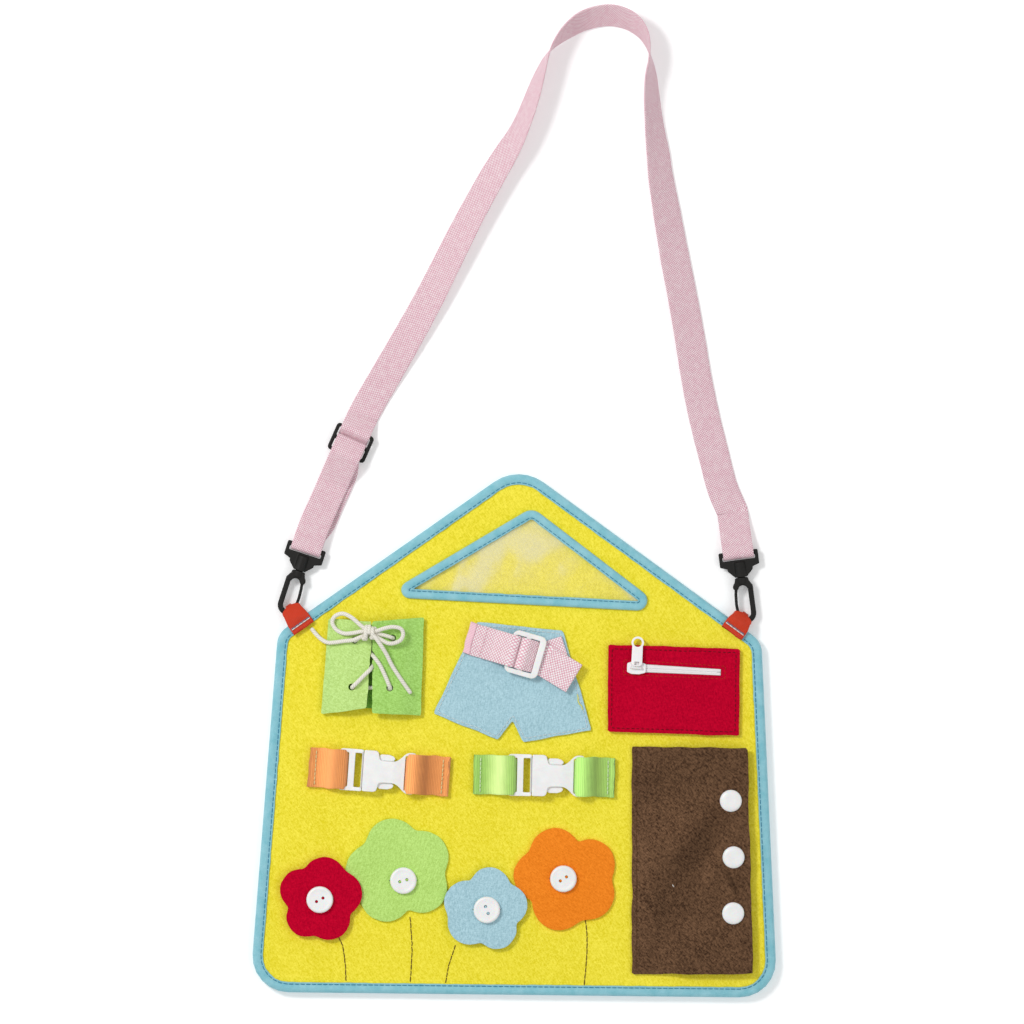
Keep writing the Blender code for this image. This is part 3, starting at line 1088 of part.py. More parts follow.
def hook_body(side_name, matrix, hub_end, gate_side):
    neck_start = hub_end - GAP
    neck_end = neck_start - HOOK_NECK_LENGTH
    side = -gate_side * HOOK_RING_RADIUS
    line = [(neck_end + HOOK_WIRE / 2, side * 0.55), (neck_end - HOOK_WIRE / 2, side)]
    steps = 12
    sweep = 90.0 + HOOK_RING_END
    for i in range(steps + 1):
        angle = math.radians(sweep * i / steps)
        line.append((-HOOK_RING_CENTRE - HOOK_RING_RADIUS * math.sin(angle), side * math.cos(angle)))
    outline = thick_outline(line, HOOK_WIRE)
    body = prism(f"{side_name}_hook", [outline], -HOOK_WIRE / 2, HOOK_WIRE, "black_plastic", matrix)
    bevel(body, SMALL_ROUND * 2, 2)
    neck = cylinder(f"{side_name}_neck", HOOK_NECK_RADIUS * 0.8, neck_end, HOOK_NECK_LENGTH, matrix=matrix,
                    turned=ALONG_X, end_radius=HOOK_NECK_RADIUS * 0.9)
    stem = cylinder(f"{side_name}_stem", HUB_BORE_RADIUS - GAP, neck_start - HOOK_NECK_LENGTH / 2,
                    HUB_BORE_LENGTH + HOOK_NECK_LENGTH / 2, matrix=matrix, turned=ALONG_X, facets=FACETS_SMALL)
    combine(body, neck, "UNION")
    combine(body, stem, "UNION")
    pivot_x = neck_end - GATE_ROOT_RADIUS - GAP
    pivot_y = gate_side * HOOK_RING_RADIUS * GATE_ROOT_SHARE
    ring_tip = -HOOK_RING_CENTRE - HOOK_RING_RADIUS * math.sin(math.radians(sweep))
    tip = ring_tip + GAP + SMALL_ROUND - pivot_x
    lean = gate_side * HOOK_RING_RADIUS - pivot_y
    bow = [(0.0, 0.0), (tip * 0.3, lean), (tip * 0.65, lean * 1.5), (tip, lean)]
    pivot = matrix @ place(pivot_x, pivot_y)
    root = circle(GATE_ROOT_RADIUS, (0.0, 0.0), FACETS_SMALL)
    gate = prism(f"{side_name}_hook_gate", [thick_outline(bow, GATE_THICKNESS)], -GATE_DEPTH / 2, GATE_DEPTH,
                 "black_plastic", pivot)
    knuckle = prism(f"{side_name}_gate_root", [root], -GATE_DEPTH / 2, GATE_DEPTH, matrix=pivot)
    combine(gate, knuckle, "UNION")


def eaves():
    """Each eave corner with the ways up along its roof edge and out from it."""
    corners = centred_board_corners()
    gable = Vector(corners[3])
    found = {}
    for side_name, corner, side in (("left", corners[4], 1), ("right", corners[2], -1)):
        eave = Vector(corner)
        up_roof = (gable - eave).normalized()
        found[side_name] = (eave, up_roof, Vector((-up_roof.y, up_roof.x)) * side)
    return found


def ring_centre(side_name):
    eave, up_roof, outward = eaves()[side_name]
    if side_name == "left":
        return eave + outward * LEFT_RING_OUT + up_roof * LEFT_RING_ALONG
    return eave + outward * RIGHT_RING_OUT + up_roof * RIGHT_RING_ALONG


def hook_tab(side_name):
    """Ribbon sewn over the binding, its fold loosely round the hook's ring."""
    name = f"{side_name}_hook_tab"
    eave, _, outward = eaves()[side_name]
    wire = ring_centre(side_name) - outward * HOOK_RING_RADIUS
    reach = (wire - eave).dot(outward) + TAB_INSET
    heading = math.degrees(math.atan2(outward.y, outward.x))
    matrix = place(wire.x, wire.y, 0.0, heading) @ place(-reach, 0.0)
    layer = TAB_RIBBON + GAP
    low = BINDING_TOP + GAP + TAB_RIBBON / 2
    wrap = math.hypot(HOOK_WIRE, HOOK_WIRE) / 2 + GAP + TAB_RIBBON / 2
    edge_z = low - TAB_EDGE_ROUND
    line = belt_line((
        (0.0, low, 0.0, 1), (TAB_SEWN_LENGTH, edge_z, TAB_EDGE_ROUND, 1), (reach, HOOK_BAR_HEIGHT, wrap, -1),
        (reach + TAB_FOLD_LOOSE, HOOK_BAR_HEIGHT, wrap, -1), (TAB_SEWN_LENGTH, edge_z, TAB_EDGE_ROUND + layer, -1),
        (0.0, low + layer, 0.0, 1)))
    rows = []
    for px, pz in line:
        out = max(0.0, min(1.0, (px - TAB_SEWN_LENGTH) / (reach - TAB_SEWN_LENGTH)))
        width = TAB_RIBBON_WIDTH + (TAB_CREST_WIDTH - TAB_RIBBON_WIDTH) * out
        if px > reach + TAB_FOLD_LOOSE:
            clear = abs(pz - HOOK_BAR_HEIGHT) - HOOK_WIRE / 2 - GAP
            share = max(0.0, min(1.0, clear / (wrap - HOOK_WIRE / 2 - GAP)))
            width = TAB_FOLD_WIDTH + (width - TAB_FOLD_WIDTH) * share
        rows.append((Vector((px, 0.0, pz)), Vector((0.0, 1.0, 0.0)), width))
    webbing(name, rows, TAB_RIBBON, "red_ribbon", matrix)


def strap_place(origin, distance):
    """Place and heading on the doubled strap, which bends a little between hook and slider."""
    steps = 40
    x, y = origin.translation.x, origin.translation.y
    first = LEFT_HOOK_HEADING
    heading = first
    for i in range(steps):
        middle = distance * (i + 0.5) / steps
        share = max(0.0, min(1.0, (middle - STRAP_BEND_START) / (STRAP_BEND_END - STRAP_BEND_START)))
        heading = math.radians(first + (LADDER_HEADING - first) * share)
        x += math.cos(heading) * distance / steps
        y += math.sin(heading) * distance / steps
    if distance <= 0.0:
        heading = math.radians(first)
    return x, y, heading


def strap_levels():
    wrap = math.hypot(LADDER_BAR, LADDER_BAR) / 2 + GAP / 2 + WEBBING / 2
    layer = WEBBING + GAP
    return wrap, layer, wrap + layer + STRAP_GROUND


def left_strap_line():
    """Sewn end, round the slider's middle bar, down to the hook, back under it and through the slider."""
    wrap, layer, ladder_z = strap_levels()
    ground = STRAP_GROUND
    hook_wrap = math.hypot(HOOK_BAR, HOOK_BAR) / 2 + GAP / 2 + WEBBING / 2
    near = LADDER_DISTANCE - LADDER_BAR_STEP
    far = LADDER_DISTANCE + LADDER_BAR_STEP
    sewn = LADDER_DISTANCE - STRAP_SEWN_REACH
    return belt_line((
        (sewn, ground + layer, 0.0, 1),
        (near, ladder_z, wrap + layer, 1),
        (LADDER_DISTANCE, ladder_z, wrap, -1),
        (near, ladder_z, wrap + 2 * layer, -1),
        (sewn - layer, ground + 2 * layer, 0.0, 1),
        (sewn - 4 * layer, ground + layer, 0.0, 1),
        (0.0, HOOK_BAR_HEIGHT, hook_wrap, -1),
        (STRAP_SEAM_REACH, ground, 0.0, 1),
        (sewn + layer, ground, 0.0, 1),
        (near, ladder_z, wrap, 1),
        (LADDER_DISTANCE, ladder_z, wrap + layer, -1),
        (far, ladder_z, wrap, 1),
        (far + STRAP_SEAM_REACH - LADDER_BAR_STEP, ground, 0.0, 1)))


def right_strap_line():
    ground = STRAP_GROUND
    layer = WEBBING + GAP
    hook_wrap = math.hypot(HOOK_BAR, HOOK_BAR) / 2 + GAP / 2 + WEBBING / 2
    return belt_line((
        (STRAP_SEAM_REACH + 5 * layer, ground, 0.0, 1),
        (STRAP_SEAM_REACH, ground + layer, 0.0, 1),
        (0.0, HOOK_BAR_HEIGHT, hook_wrap, -1),
        (STRAP_SEAM_REACH - 5 * layer, ground, 0.0, 1),
        (STRAP_SEAM_REACH, ground, 0.0, 1)))


def strap_route():
    """The drawn route, moved at each end as far as its ring is from where it was drawn for."""
    left_ring, right_ring = ring_centre("left"), ring_centre("right")
    route = []
    count = len(STRAP_ROUTE) - 1
    for i, (x, y, lean) in enumerate(STRAP_ROUTE):
        share = i / count
        move_x = (left_ring[0] - ROUTE_LEFT_RING[0]) * (1 - share) + (right_ring[0] - ROUTE_RIGHT_RING[0]) * share
        move_y = (left_ring[1] - ROUTE_LEFT_RING[1]) * (1 - share) + (right_ring[1] - ROUTE_RIGHT_RING[1]) * share
        route.append((x * MM + move_x, y * MM + move_y, math.radians(lean) * MM))
    return route


def shoulder_strap():
    left = hook_frame("left", LEFT_HOOK_HEADING)
    right = hook_frame("right", RIGHT_HOOK_HEADING)
    rows = []
    for distance, z in left_strap_line():
        x, y, heading = strap_place(left, distance)
        cross = Vector((math.sin(heading), -math.cos(heading), 0.0))
        skew = STRAP_SKEW if abs(z - STRAP_GROUND) < GAP and distance < LADDER_DISTANCE - LADDER_BAR_STEP else 0.0
        rows.append((Vector((x, y, z)) + cross * skew, cross, STRAP_WIDTH))
    last = rows[-1][0]
    end_line = right_strap_line()
    first_right = right @ Vector((end_line[0][0], 0.0, end_line[0][1]))
    route = [(last.x, last.y, 0.0)] + strap_route()
    route.append((first_right.x, first_right.y, 0.0))
    points = smooth(route, STRAP_POINT_SPACING)
    for before, here, after in zip(points, points[1:], points[2:]):
        lean = here.z / MM
        along = Vector((after.x - before.x, after.y - before.y, 0.0)).normalized()
        inner = Vector((along.y, -along.x, 0.0))
        cross = inner * math.cos(lean) + Vector((0.0, 0.0, math.sin(lean)))
        height = STRAP_GROUND + STRAP_WIDTH / 2 * math.sin(lean)
        rows.append((Vector((here.x, here.y, height)), cross, STRAP_WIDTH))
    inner = right.to_3x3() @ Vector((0.0, 1.0, 0.0))
    for distance, z in end_line:
        rows.append((right @ Vector((distance, 0.0, z)), inner, STRAP_WIDTH))
    webbing("shoulder_strap", rows, WEBBING, "pink_webbing")
    strap_slider(left)


def strap_slider(left):
    """A three-bar slider that the strap is threaded through."""
    x, y, heading = strap_place(left, LADDER_DISTANCE)
    ladder_z = strap_levels()[2]
    matrix = place(x, y, ladder_z, math.degrees(heading))
    reach = LADDER_BAR_STEP + LADDER_BAR / 2
    half = LADDER_WIDTH / 2
    body = prism("strap_slider", [rectangle(-reach, reach, -half, half, LADDER_BAR)], -LADDER_BAR / 2, LADDER_BAR,
                 "black_plastic", matrix)
    bevel(body, SMALL_ROUND)
    for i, side in enumerate((-1, 1)):
        near, far = sorted((side * LADDER_BAR / 2, side * (LADDER_BAR_STEP - LADDER_BAR / 2)))
        slot = box(f"slider_slot_{i}", (near, -LADDER_INNER_WIDTH / 2, -LADDER_BAR),
                   (far, LADDER_INNER_WIDTH / 2, LADDER_BAR), matrix=matrix)
        combine(body, slot, "DIFFERENCE")


def build():
    board()
    window()
    lace_panel()
    shorts()
    pocket()
    for colour, centre_shares, turn in BUCKLES:
        buckle(colour, centre_shares, turn)
    door()
    for details in FLOWERS:
        flower(*details)
    snap_hook("left", LEFT_HOOK_HEADING, -1)
    snap_hook("right", RIGHT_HOOK_HEADING, 1)
    hook_tab("left")
    hook_tab("right")
    shoulder_strap()


build()
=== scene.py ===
"""Dressing skills board: the felt house, its fastenings and its strap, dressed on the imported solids.

Lengths are in mm until to_mesh and cloth make meshes, in metres. UVs stay in mm, so weaves have their real size."""
import math

import bmesh
import bpy
from mathutils import Matrix, Vector, noise


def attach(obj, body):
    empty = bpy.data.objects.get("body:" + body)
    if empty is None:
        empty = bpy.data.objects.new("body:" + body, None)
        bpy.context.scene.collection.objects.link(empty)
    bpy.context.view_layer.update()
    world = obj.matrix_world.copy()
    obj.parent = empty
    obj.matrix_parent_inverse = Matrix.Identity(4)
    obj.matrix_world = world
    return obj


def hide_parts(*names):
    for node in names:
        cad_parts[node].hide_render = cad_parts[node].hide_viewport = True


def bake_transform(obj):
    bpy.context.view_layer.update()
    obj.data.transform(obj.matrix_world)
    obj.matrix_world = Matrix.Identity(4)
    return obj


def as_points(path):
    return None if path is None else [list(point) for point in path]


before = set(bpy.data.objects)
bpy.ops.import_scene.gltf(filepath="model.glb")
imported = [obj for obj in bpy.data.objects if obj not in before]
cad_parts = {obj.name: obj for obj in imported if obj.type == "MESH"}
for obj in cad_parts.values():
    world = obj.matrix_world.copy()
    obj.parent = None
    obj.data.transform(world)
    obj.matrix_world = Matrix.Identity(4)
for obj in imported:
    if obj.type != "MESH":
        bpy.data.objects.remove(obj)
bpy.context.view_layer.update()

MM = 0.001
UP = Vector((0.0, 0.0, 1.0))
ACROSS = Vector((0.0, 1.0, 0.0))
FELT = 1.45            # thickness of one layer
GAP = 0.3              # between layers that lie on each other
FRONT_TOP = 6.7
ON_FRONT = 7.0
THROUGH = (5.0, 20.0)  # heights of what cuts holes in the felt
# heights of the middles of the flat layers
BACK_Z, FRONT_Z, BACKING_Z, SHORTS_Z, PANE_Z, POCKET_Z, FLAP_Z = 1.88, 5.92, 7.75, 7.78, 8.25, 8.86, 9.55
SHORTS_TOP, POCKET_TOP = 8.62, 9.62        # where their stitches lie
EDGE_SEAM, WINDOW_SEAM = 5.45, 5.0         # the seams' distance from the binding's edge
BELT_WIDTH, RIBBON_WIDTH, RIBBON_GATHER = 20.4, 25.2, 4.2


def srgb(r, g, b):
    return tuple(((c / 255 + 0.055) / 1.055) ** 2.4 if c > 10 else c / 3295 for c in (r, g, b))


# ---- materials

def add_node(tree, kind, inputs=None, **settings):
    node = tree.nodes.new("ShaderNode" + kind)
    for key, value in settings.items():
        setattr(node, key, value)
    for key, value in (inputs or {}).items():
        if isinstance(value, bpy.types.NodeSocket):
            tree.links.new(value, node.inputs[key])
        else:
            node.inputs[key].default_value = value
    return node


def place_in(tree):
    """The place on the piece, in metres."""
    return add_node(tree, "TexCoord").outputs["Object"]


def uv_in(tree):
    """The place on a swept strip: across it and along it, in mm."""
    return add_node(tree, "UVMap").outputs["UV"]


def start(name, colour, roughness, **sockets):
    material = bpy.data.materials.new(name)
    material.use_nodes = True
    tree = material.node_tree
    shader = tree.nodes["Principled BSDF"]
    shader.inputs["Base Color"].default_value = (*colour, 1.0)
    shader.inputs["Roughness"].default_value = roughness
    for key, value in sockets.items():
        shader.inputs[key.replace("_", " ")].default_value = value
    return material, tree, shader


def math_node(tree, operation, a, b=0.0, c=0.0):
    return add_node(tree, "Math", {0: a, 1: b, 2: c}, operation=operation).outputs[0]


def summed(tree, a, share_a, b, share_b):
    """The sum of two values, each times its share."""
    return math_node(tree, "ADD", math_node(tree, "MULTIPLY", a, share_a), math_node(tree, "MULTIPLY", b, share_b))


def waves(tree, coords, period, way, distortion, detail=2.0, detail_scale=1.0):
    """Bands that repeat every period along one way of the coordinates."""
    return add_node(tree, "TexWave", {"Vector": coords, "Scale": 0.314 / period, "Distortion": distortion,
                                      "Detail": detail, "Detail Scale": detail_scale},
                    bands_direction=way).outputs["Fac"]


def turned(tree, coords, degrees, scale=(1.0, 1.0, 1.0)):
    return add_node(tree, "Mapping", {"Vector": coords, "Scale": scale,
                                      "Rotation": (0.0, 0.0, math.radians(degrees))}).outputs[0]


def stops(tree, value, *pairs, kind="LINEAR"):
    """Colour that runs through pairs of position and colour, in rising order, as value rises."""
    node = add_node(tree, "ValToRGB", {"Fac": value})
    node.color_ramp.interpolation = kind
    elements = node.color_ramp.elements
    for i, (position, colour) in enumerate(pairs):
        element = elements[i] if i < 2 else elements.new(position)
        element.position = position
        element.color = (*colour, 1.0)
    return node.outputs["Color"]


def ramp(tree, value, low, high, dark, light):
    """Colour that goes from dark to light as value goes from low to high."""
    return stops(tree, value, (low, dark), (high, light))


def texture(tree, coords, scale, detail=3.0, roughness=0.6, distortion=0.0):
    return add_node(tree, "TexNoise", {"Vector": coords, "Scale": scale, "Detail": detail, "Roughness": roughness,
                                       "Distortion": distortion}).outputs["Fac"]


def bump(tree, shader, height, strength, distance):
    node = add_node(tree, "Bump", {"Height": height, "Strength": strength, "Distance": distance})
    tree.links.new(node.outputs["Normal"], shader.inputs["Normal"])


def times(colour, share):
    return tuple(min(1.0, c * share) for c in colour)


def mixed(colour, other, share):
    return tuple(c * (1 - share) + o * share for c, o in zip(colour, other))


def felt(name, colour, shade, pale, turn=65.0, fleck=(1.0, 1.0, 1.0), spots=()):
    """Pressed wool: short fibres every way, paler where they stand up. Spots of painted shade and painted
    light, which follow the folds, are x, y, heading, length, width and gain."""
    material, tree, shader = start(name, colour, 0.95, Sheen_Weight=0.06, Sheen_Roughness=0.6,
                                   Specular_IOR_Level=0.03)
    shader.inputs["Sheen Tint"].default_value = (*mixed(colour, fleck, 0.2), 1.0)
    at = place_in(tree)
    along = turned(tree, at, turn)
    dashes = texture(tree, turned(tree, along, 0.0, (0.4, 1.0, 1.0)), 1150, 2.0, 0.6, 0.4)
    crossing = texture(tree, turned(tree, along, math.degrees(0.6), (1.0, 0.45, 1.0)), 1300, 2.0, 0.6, 0.4)
    fine = texture(tree, at, 2600, 2.0, 0.7)
    broad = texture(tree, at, 40.0, 3.0, 0.6)
    fibres = summed(tree, dashes, 0.58, crossing, 0.42)
    grainy = summed(tree, fibres, 0.75, fine, 0.25)
    tone = summed(tree, grainy, 0.9, broad, 0.1)
    light = mixed(times(colour, 2.0 - shade), fleck, pale)
    shown = ramp(tree, tone, 0.41, 0.59, times(colour, shade), light)
    # Painted shade and painted light in soft patches: a gain below zero darkens and a gain above zero lightens.
    if spots:
        gain = 1.0
        wander = add_node(tree, "TexNoise", {"Vector": at, "Scale": 60.0}).outputs["Color"]
        wander = add_node(tree, "VectorMath", {0: wander, 1: (0.006, 0.006, 0.0), 2: (-0.003, -0.003, 0.0)},
                          operation="MULTIPLY_ADD").outputs[0]
        bent = add_node(tree, "VectorMath", {0: at, 1: wander}, operation="ADD").outputs[0]
        for x, y, heading, length, width, level in spots:
            local = add_node(tree, "Mapping", {
                "Vector": bent, "Location": (x * MM, y * MM, 0.0), "Rotation": (0.0, 0.0, math.radians(heading)),
                "Scale": (length * MM, width * MM, 1.0)}, vector_type="TEXTURE").outputs[0]
            spot = add_node(tree, "TexGradient", {"Vector": local}, gradient_type="SPHERICAL").outputs["Fac"]
            soft = math_node(tree, "SMOOTH_MIN", spot, 0.7, 0.3)
            gain = math_node(tree, "MULTIPLY", gain, math_node(tree, "MULTIPLY_ADD", soft, level, 1.0))
        shown = add_node(tree, "VectorMath", {0: shown, "Scale": gain}, operation="SCALE").outputs[0]
    tree.links.new(shown, shader.inputs["Base Color"])
    bump(tree, shader, grainy, 0.9, 0.0006)
    return material


def dotted_webbing(name, colour, fleck, across, along):
    """Woven tape: rows of pale floats, each row half a step along from the last."""
    material, tree, shader = start(name, colour, 0.75, Sheen_Weight=0.15, Specular_IOR_Level=0.3)
    uv = uv_in(tree)
    slant = turned(tree, turned(tree, uv, 0.0, (1 / across, 1 / along, 1.0)), 45.0)
    cell = add_node(tree, "TexVoronoi", {"Vector": slant, "Scale": 1.414, "Randomness": 0.08},
                    voronoi_dimensions="2D").outputs["Distance"]
    at = place_in(tree)
    wear = texture(tree, at, 350, 3.0)
    shifted = math_node(tree, "ADD", cell, math_node(tree, "MULTIPLY", math_node(tree, "SUBTRACT", wear, 0.5), 0.25))
    flecks = ramp(tree, shifted, 0.28, 0.46, fleck, colour)
    rows = add_node(tree, "TexWave", {"Vector": uv, "Scale": 1.55 / along, "Distortion": 0.6, "Detail": 1.0},
                    bands_direction="Y").outputs["Fac"]
    shaded = add_node(tree, "MixRGB", {"Fac": 0.14, "Color1": flecks,
                                       "Color2": ramp(tree, rows, 0.2, 0.8, times(colour, 0.7), fleck)},
                      blend_type="MULTIPLY")
    tree.links.new(shaded.outputs[0], shader.inputs["Base Color"])
    height = math_node(tree, "SUBTRACT", math_node(tree, "MULTIPLY", rows, 0.35), cell)
    bump(tree, shader, height, 0.6, 0.0005)
    return material


# The painted light and shade on the ribbons goes above 1; its levels are divided by this and scaled back.
BRIGHTEST = 2.4        # ramps stop at 1, so tones are divided by this and scaled back


def ribbed(name, colour, step, depth, shade, sheen=0.25, painted_light_and_shade=(), power=(1.0, 1.15, 1.4)):
    """Ribbon with fine ribs across it and a satin sheen; its painted light and shade, in pairs of length along it and
    brightness, make it lighter on crests and darker in valleys.
    """
    material, tree, shader = start(name, colour, 0.5, Sheen_Weight=sheen, Specular_IOR_Level=0.35)
    uv = uv_in(tree)
    ribs = waves(tree, uv, step, "Y", 0.35, 1.5, 2.0)
    threads = waves(tree, uv, step * 0.6, "X", 0.3)
    at = place_in(tree)
    wear = texture(tree, at, 220, 3.0)
    tone = summed(tree, ribs, 0.6, wear, 0.4)
    woven = ramp(tree, tone, 0.15, 0.75, times(colour, shade), times(colour, 1.1))
    # Painted light and shade: the brightness changes along the ribbon's length, lighter on crests and darker where it
    # turns down.
    if painted_light_and_shade:
        along = add_node(tree, "SeparateXYZ", {"Vector": uv}).outputs["Y"]
        bent = math_node(tree, "ADD", along, math_node(tree, "MULTIPLY", texture(tree, at, 60, 2.0), 5.0))
        pairs = [(spot / 100.0, [level ** share / BRIGHTEST for share in power]) for spot, level in painted_light_and_shade]
        shaded = stops(tree, math_node(tree, "DIVIDE", bent, 100.0), *pairs, kind="B_SPLINE")
        woven = add_node(tree, "MixRGB", {"Fac": 1.0, "Color1": woven, "Color2": shaded},
                         blend_type="MULTIPLY").outputs[0]
        woven = add_node(tree, "VectorMath", {0: woven, "Scale": BRIGHTEST}, operation="SCALE").outputs[0]
    tree.links.new(woven, shader.inputs["Base Color"])
    height = math_node(tree, "ADD", ribs, math_node(tree, "MULTIPLY", threads, 0.4))
    bump(tree, shader, height, depth, 0.0003)
    return material


def plain_weave(name, colour, step, shade=0.82):
    """Cotton tape: threads over and under each other."""
    material, tree, shader = start(name, colour, 0.7, Sheen_Weight=0.2, Specular_IOR_Level=0.3)
    uv = uv_in(tree)
    slant = turned(tree, uv, 45.0)
    warp = waves(tree, slant, step, "X", 0.25)
    weft = waves(tree, slant, step, "Y", 0.25)
    at = place_in(tree)
    wear = texture(tree, at, 130, 4.0, 0.65)
    weave = math_node(tree, "MULTIPLY", warp, weft)
    tone = summed(tree, weave, 0.35, wear, 0.65)
    tree.links.new(ramp(tree, tone, 0.2, 0.62, times(colour, shade), mixed(colour, (1.0, 1.0, 1.0), 0.22)),
                   shader.inputs["Base Color"])
    bump(tree, shader, math_node(tree, "ADD", weave, math_node(tree, "MULTIPLY", wear, 0.8)), 0.5, 0.0004)
    return material


def braid(name, colour, step):
    """Twisted cotton cord or sewing thread."""
    material, tree, shader = start(name, colour, 0.85, Sheen_Weight=0.06, Specular_IOR_Level=0.1)
    uv = uv_in(tree)
    strands = waves(tree, turned(tree, uv, 38.0), step, "Y", 0.8, 1.0)
    tree.links.new(ramp(tree, strands, 0.0, 0.6, times(colour, 0.74), colour), shader.inputs["Base Color"])
    bump(tree, shader, strands, 0.5, 0.0003)
    return material


def plastic(name, colour, roughness, grain, soft=0.0, gloss=0.45):
    """Moulded plastic with a faint skin texture and worn, slightly rougher patches."""
    material, tree, shader = start(name, colour, roughness, Subsurface_Weight=soft, Subsurface_Scale=0.002,
                                   Specular_IOR_Level=gloss)
    at = place_in(tree)
    skin = texture(tree, at, 1800, 2.0)
    patches = texture(tree, at, 160, 3.0)
    rough = add_node(tree, "MapRange", {"Value": patches, "To Min": roughness * 0.8, "To Max": roughness * 1.35})
    tree.links.new(rough.outputs[0], shader.inputs["Roughness"])
    tree.links.new(ramp(tree, patches, 0.3, 0.7, times(colour, 0.95), times(colour, 1.03)),
                   shader.inputs["Base Color"])
    bump(tree, shader, skin, grain, 0.0001)
    return material


def vinyl(name):
    """Clear soft sheet: pale, flowing streaks in its alpha are painted reflections on its creases, where it leaves
    the felt.
    """
    material, tree, shader = start(name, srgb(250, 250, 232), 0.12, IOR=1.5, Coat_Weight=0.6)
    at = place_in(tree)
    flow = add_node(tree, "TexNoise", {"Vector": at, "Scale": 17.0, "Detail": 1.0, "Distortion": 1.3}).outputs["Fac"]
    spots = texture(tree, at, 48, 2.0, 0.5, 0.8)
    edge = summed(tree, flow, 0.85, spots, 0.15)
    # Painted reflection: alpha levels that show the pale sheet colour in flowing streaks.
    painted_reflection_levels = ((0.38, 0.05), (0.46, 0.09), (0.505, 0.24), (0.545, 0.27), (0.60, 0.12), (0.67, 0.05))
    tree.links.new(stops(tree, edge, *((position, [level] * 3) for position, level in painted_reflection_levels)),
                   shader.inputs["Alpha"])
    bump(tree, shader, flow, 0.3, 0.002)
    return material


YELLOW = srgb(243, 226, 42)
# Painted shade and painted light on the door felt: darker along its crease valleys, lighter on its ridges and where
# it rises from its sewn edge.
DOOR_PAINTED_LIGHT_AND_SHADE = ((118.0, -68.0, 57.0, 36.0, 12.0, -0.42), (138.3, -94.0, 105.0, 11.0, 2.6, -0.6),
              (102.0, -56.0, 30.0, 44.0, 22.0, 0.22), (80.0, -104.0, 90.0, 44.0, 12.0, 0.42),
              (94.0, -108.0, 60.0, 40.0, 22.0, -0.22), (128.0, -80.0, 60.0, 22.0, 8.0, 0.2),
              (90.0, -30.0, 10.0, 40.0, 16.0, -0.12), (110.0, -125.0, 0.0, 40.0, 14.0, 0.12))
# Painted light and shade along the ribbon tabs, as pairs of length in mm along the strip and brightness: lighter on
# the crests of their loops, darker in their valleys and where they turn down.
LEFT_PAINTED_LIGHT_AND_SHADE = ((0.0, 1.0), (30.0, 1.0), (36.0, 0.8), (42.0, 1.55), (48.0, 1.4), (54.0, 0.8))
RIGHT_PAINTED_LIGHT_AND_SHADE = ((0.0, 1.0), (33.0, 1.4), (38.0, 1.3), (44.0, 0.45), (50.0, 0.85), (58.0, 1.15))
PINK = srgb(222, 160, 180)
M = {
    "yellow": felt("yellow_felt", YELLOW, 0.86, 0.06, 60.0),
    "green": felt("green_felt", srgb(162, 212, 100), 0.84, 0.08, 20.0),
    "flower_green": felt("flower_green_felt", srgb(184, 224, 112), 0.85, 0.07, 110.0),
    "pale_green": felt("pale_green_felt", srgb(188, 224, 124), 0.86, 0.10, 30.0),
    "backing": felt("dark_green_felt", srgb(122, 182, 66), 0.85, 0.04),
    "blue": felt("blue_felt", srgb(162, 202, 214), 0.86, 0.12, 100.0),
    "red": felt("red_felt", srgb(188, 0, 42), 0.8, 0.012, 75.0, srgb(255, 120, 100)),
    "orange": felt("orange_felt", srgb(246, 132, 30), 0.84, 0.05, 40.0, srgb(255, 200, 120)),
    "brown": felt("brown_felt", srgb(81, 57, 41), 0.5, 0.16, 45.0, srgb(190, 150, 112), DOOR_PAINTED_LIGHT_AND_SHADE),
    "tape": plain_weave("blue_tape", srgb(122, 204, 220), 0.45),
    "pink": dotted_webbing("pink_webbing", PINK, srgb(254, 246, 246), 1.65, 1.5),
    "belt_pink": dotted_webbing("belt_webbing", srgb(232, 176, 192), srgb(255, 253, 252), 2.2, 2.0),
    # Each ribbon colour has a left and a right material only because their painted light and shade differ.
    "orange_left": ribbed("orange_ribbon_left", srgb(255, 160, 88), 1.05, 0.9, 0.84, painted_light_and_shade=LEFT_PAINTED_LIGHT_AND_SHADE),
    "orange_right": ribbed("orange_ribbon_right", srgb(255, 160, 88), 1.05, 0.9, 0.84, painted_light_and_shade=RIGHT_PAINTED_LIGHT_AND_SHADE),
    "green_left": ribbed("green_ribbon_left", srgb(184, 232, 116), 1.05, 0.9, 0.84, painted_light_and_shade=LEFT_PAINTED_LIGHT_AND_SHADE,
                         power=(1.75, 1.1, 2.3)),
    "green_right": ribbed("green_ribbon_right", srgb(184, 232, 116), 1.05, 0.9, 0.84, painted_light_and_shade=RIGHT_PAINTED_LIGHT_AND_SHADE),
    "red_ribbon": ribbed("red_ribbon", srgb(206, 50, 2), 0.7, 0.5, 0.7, sheen=0.0),
    "hem": ribbed("pink_hem", srgb(246, 200, 212), 1.0, 0.5, 0.85),
    "zip_tape": ribbed("zip_tape", srgb(236, 232, 232), 0.7, 0.3, 0.88),
    "lace": braid("white_lace", srgb(242, 238, 226), 1.1),
    "white": plastic("white_plastic", srgb(238, 238, 237), 0.34, 0.15, 0.15),
    "coil": plastic("white_nylon", srgb(240, 238, 238), 0.4, 0.1, 0.1),
    "black": plastic("black_plastic", srgb(19, 18, 16), 0.5, 0.3, 0.0, 0.2),
    "core": plastic("core_board", srgb(214, 208, 190), 0.9, 0.3),
    "vinyl": vinyl("clear_vinyl"),
}
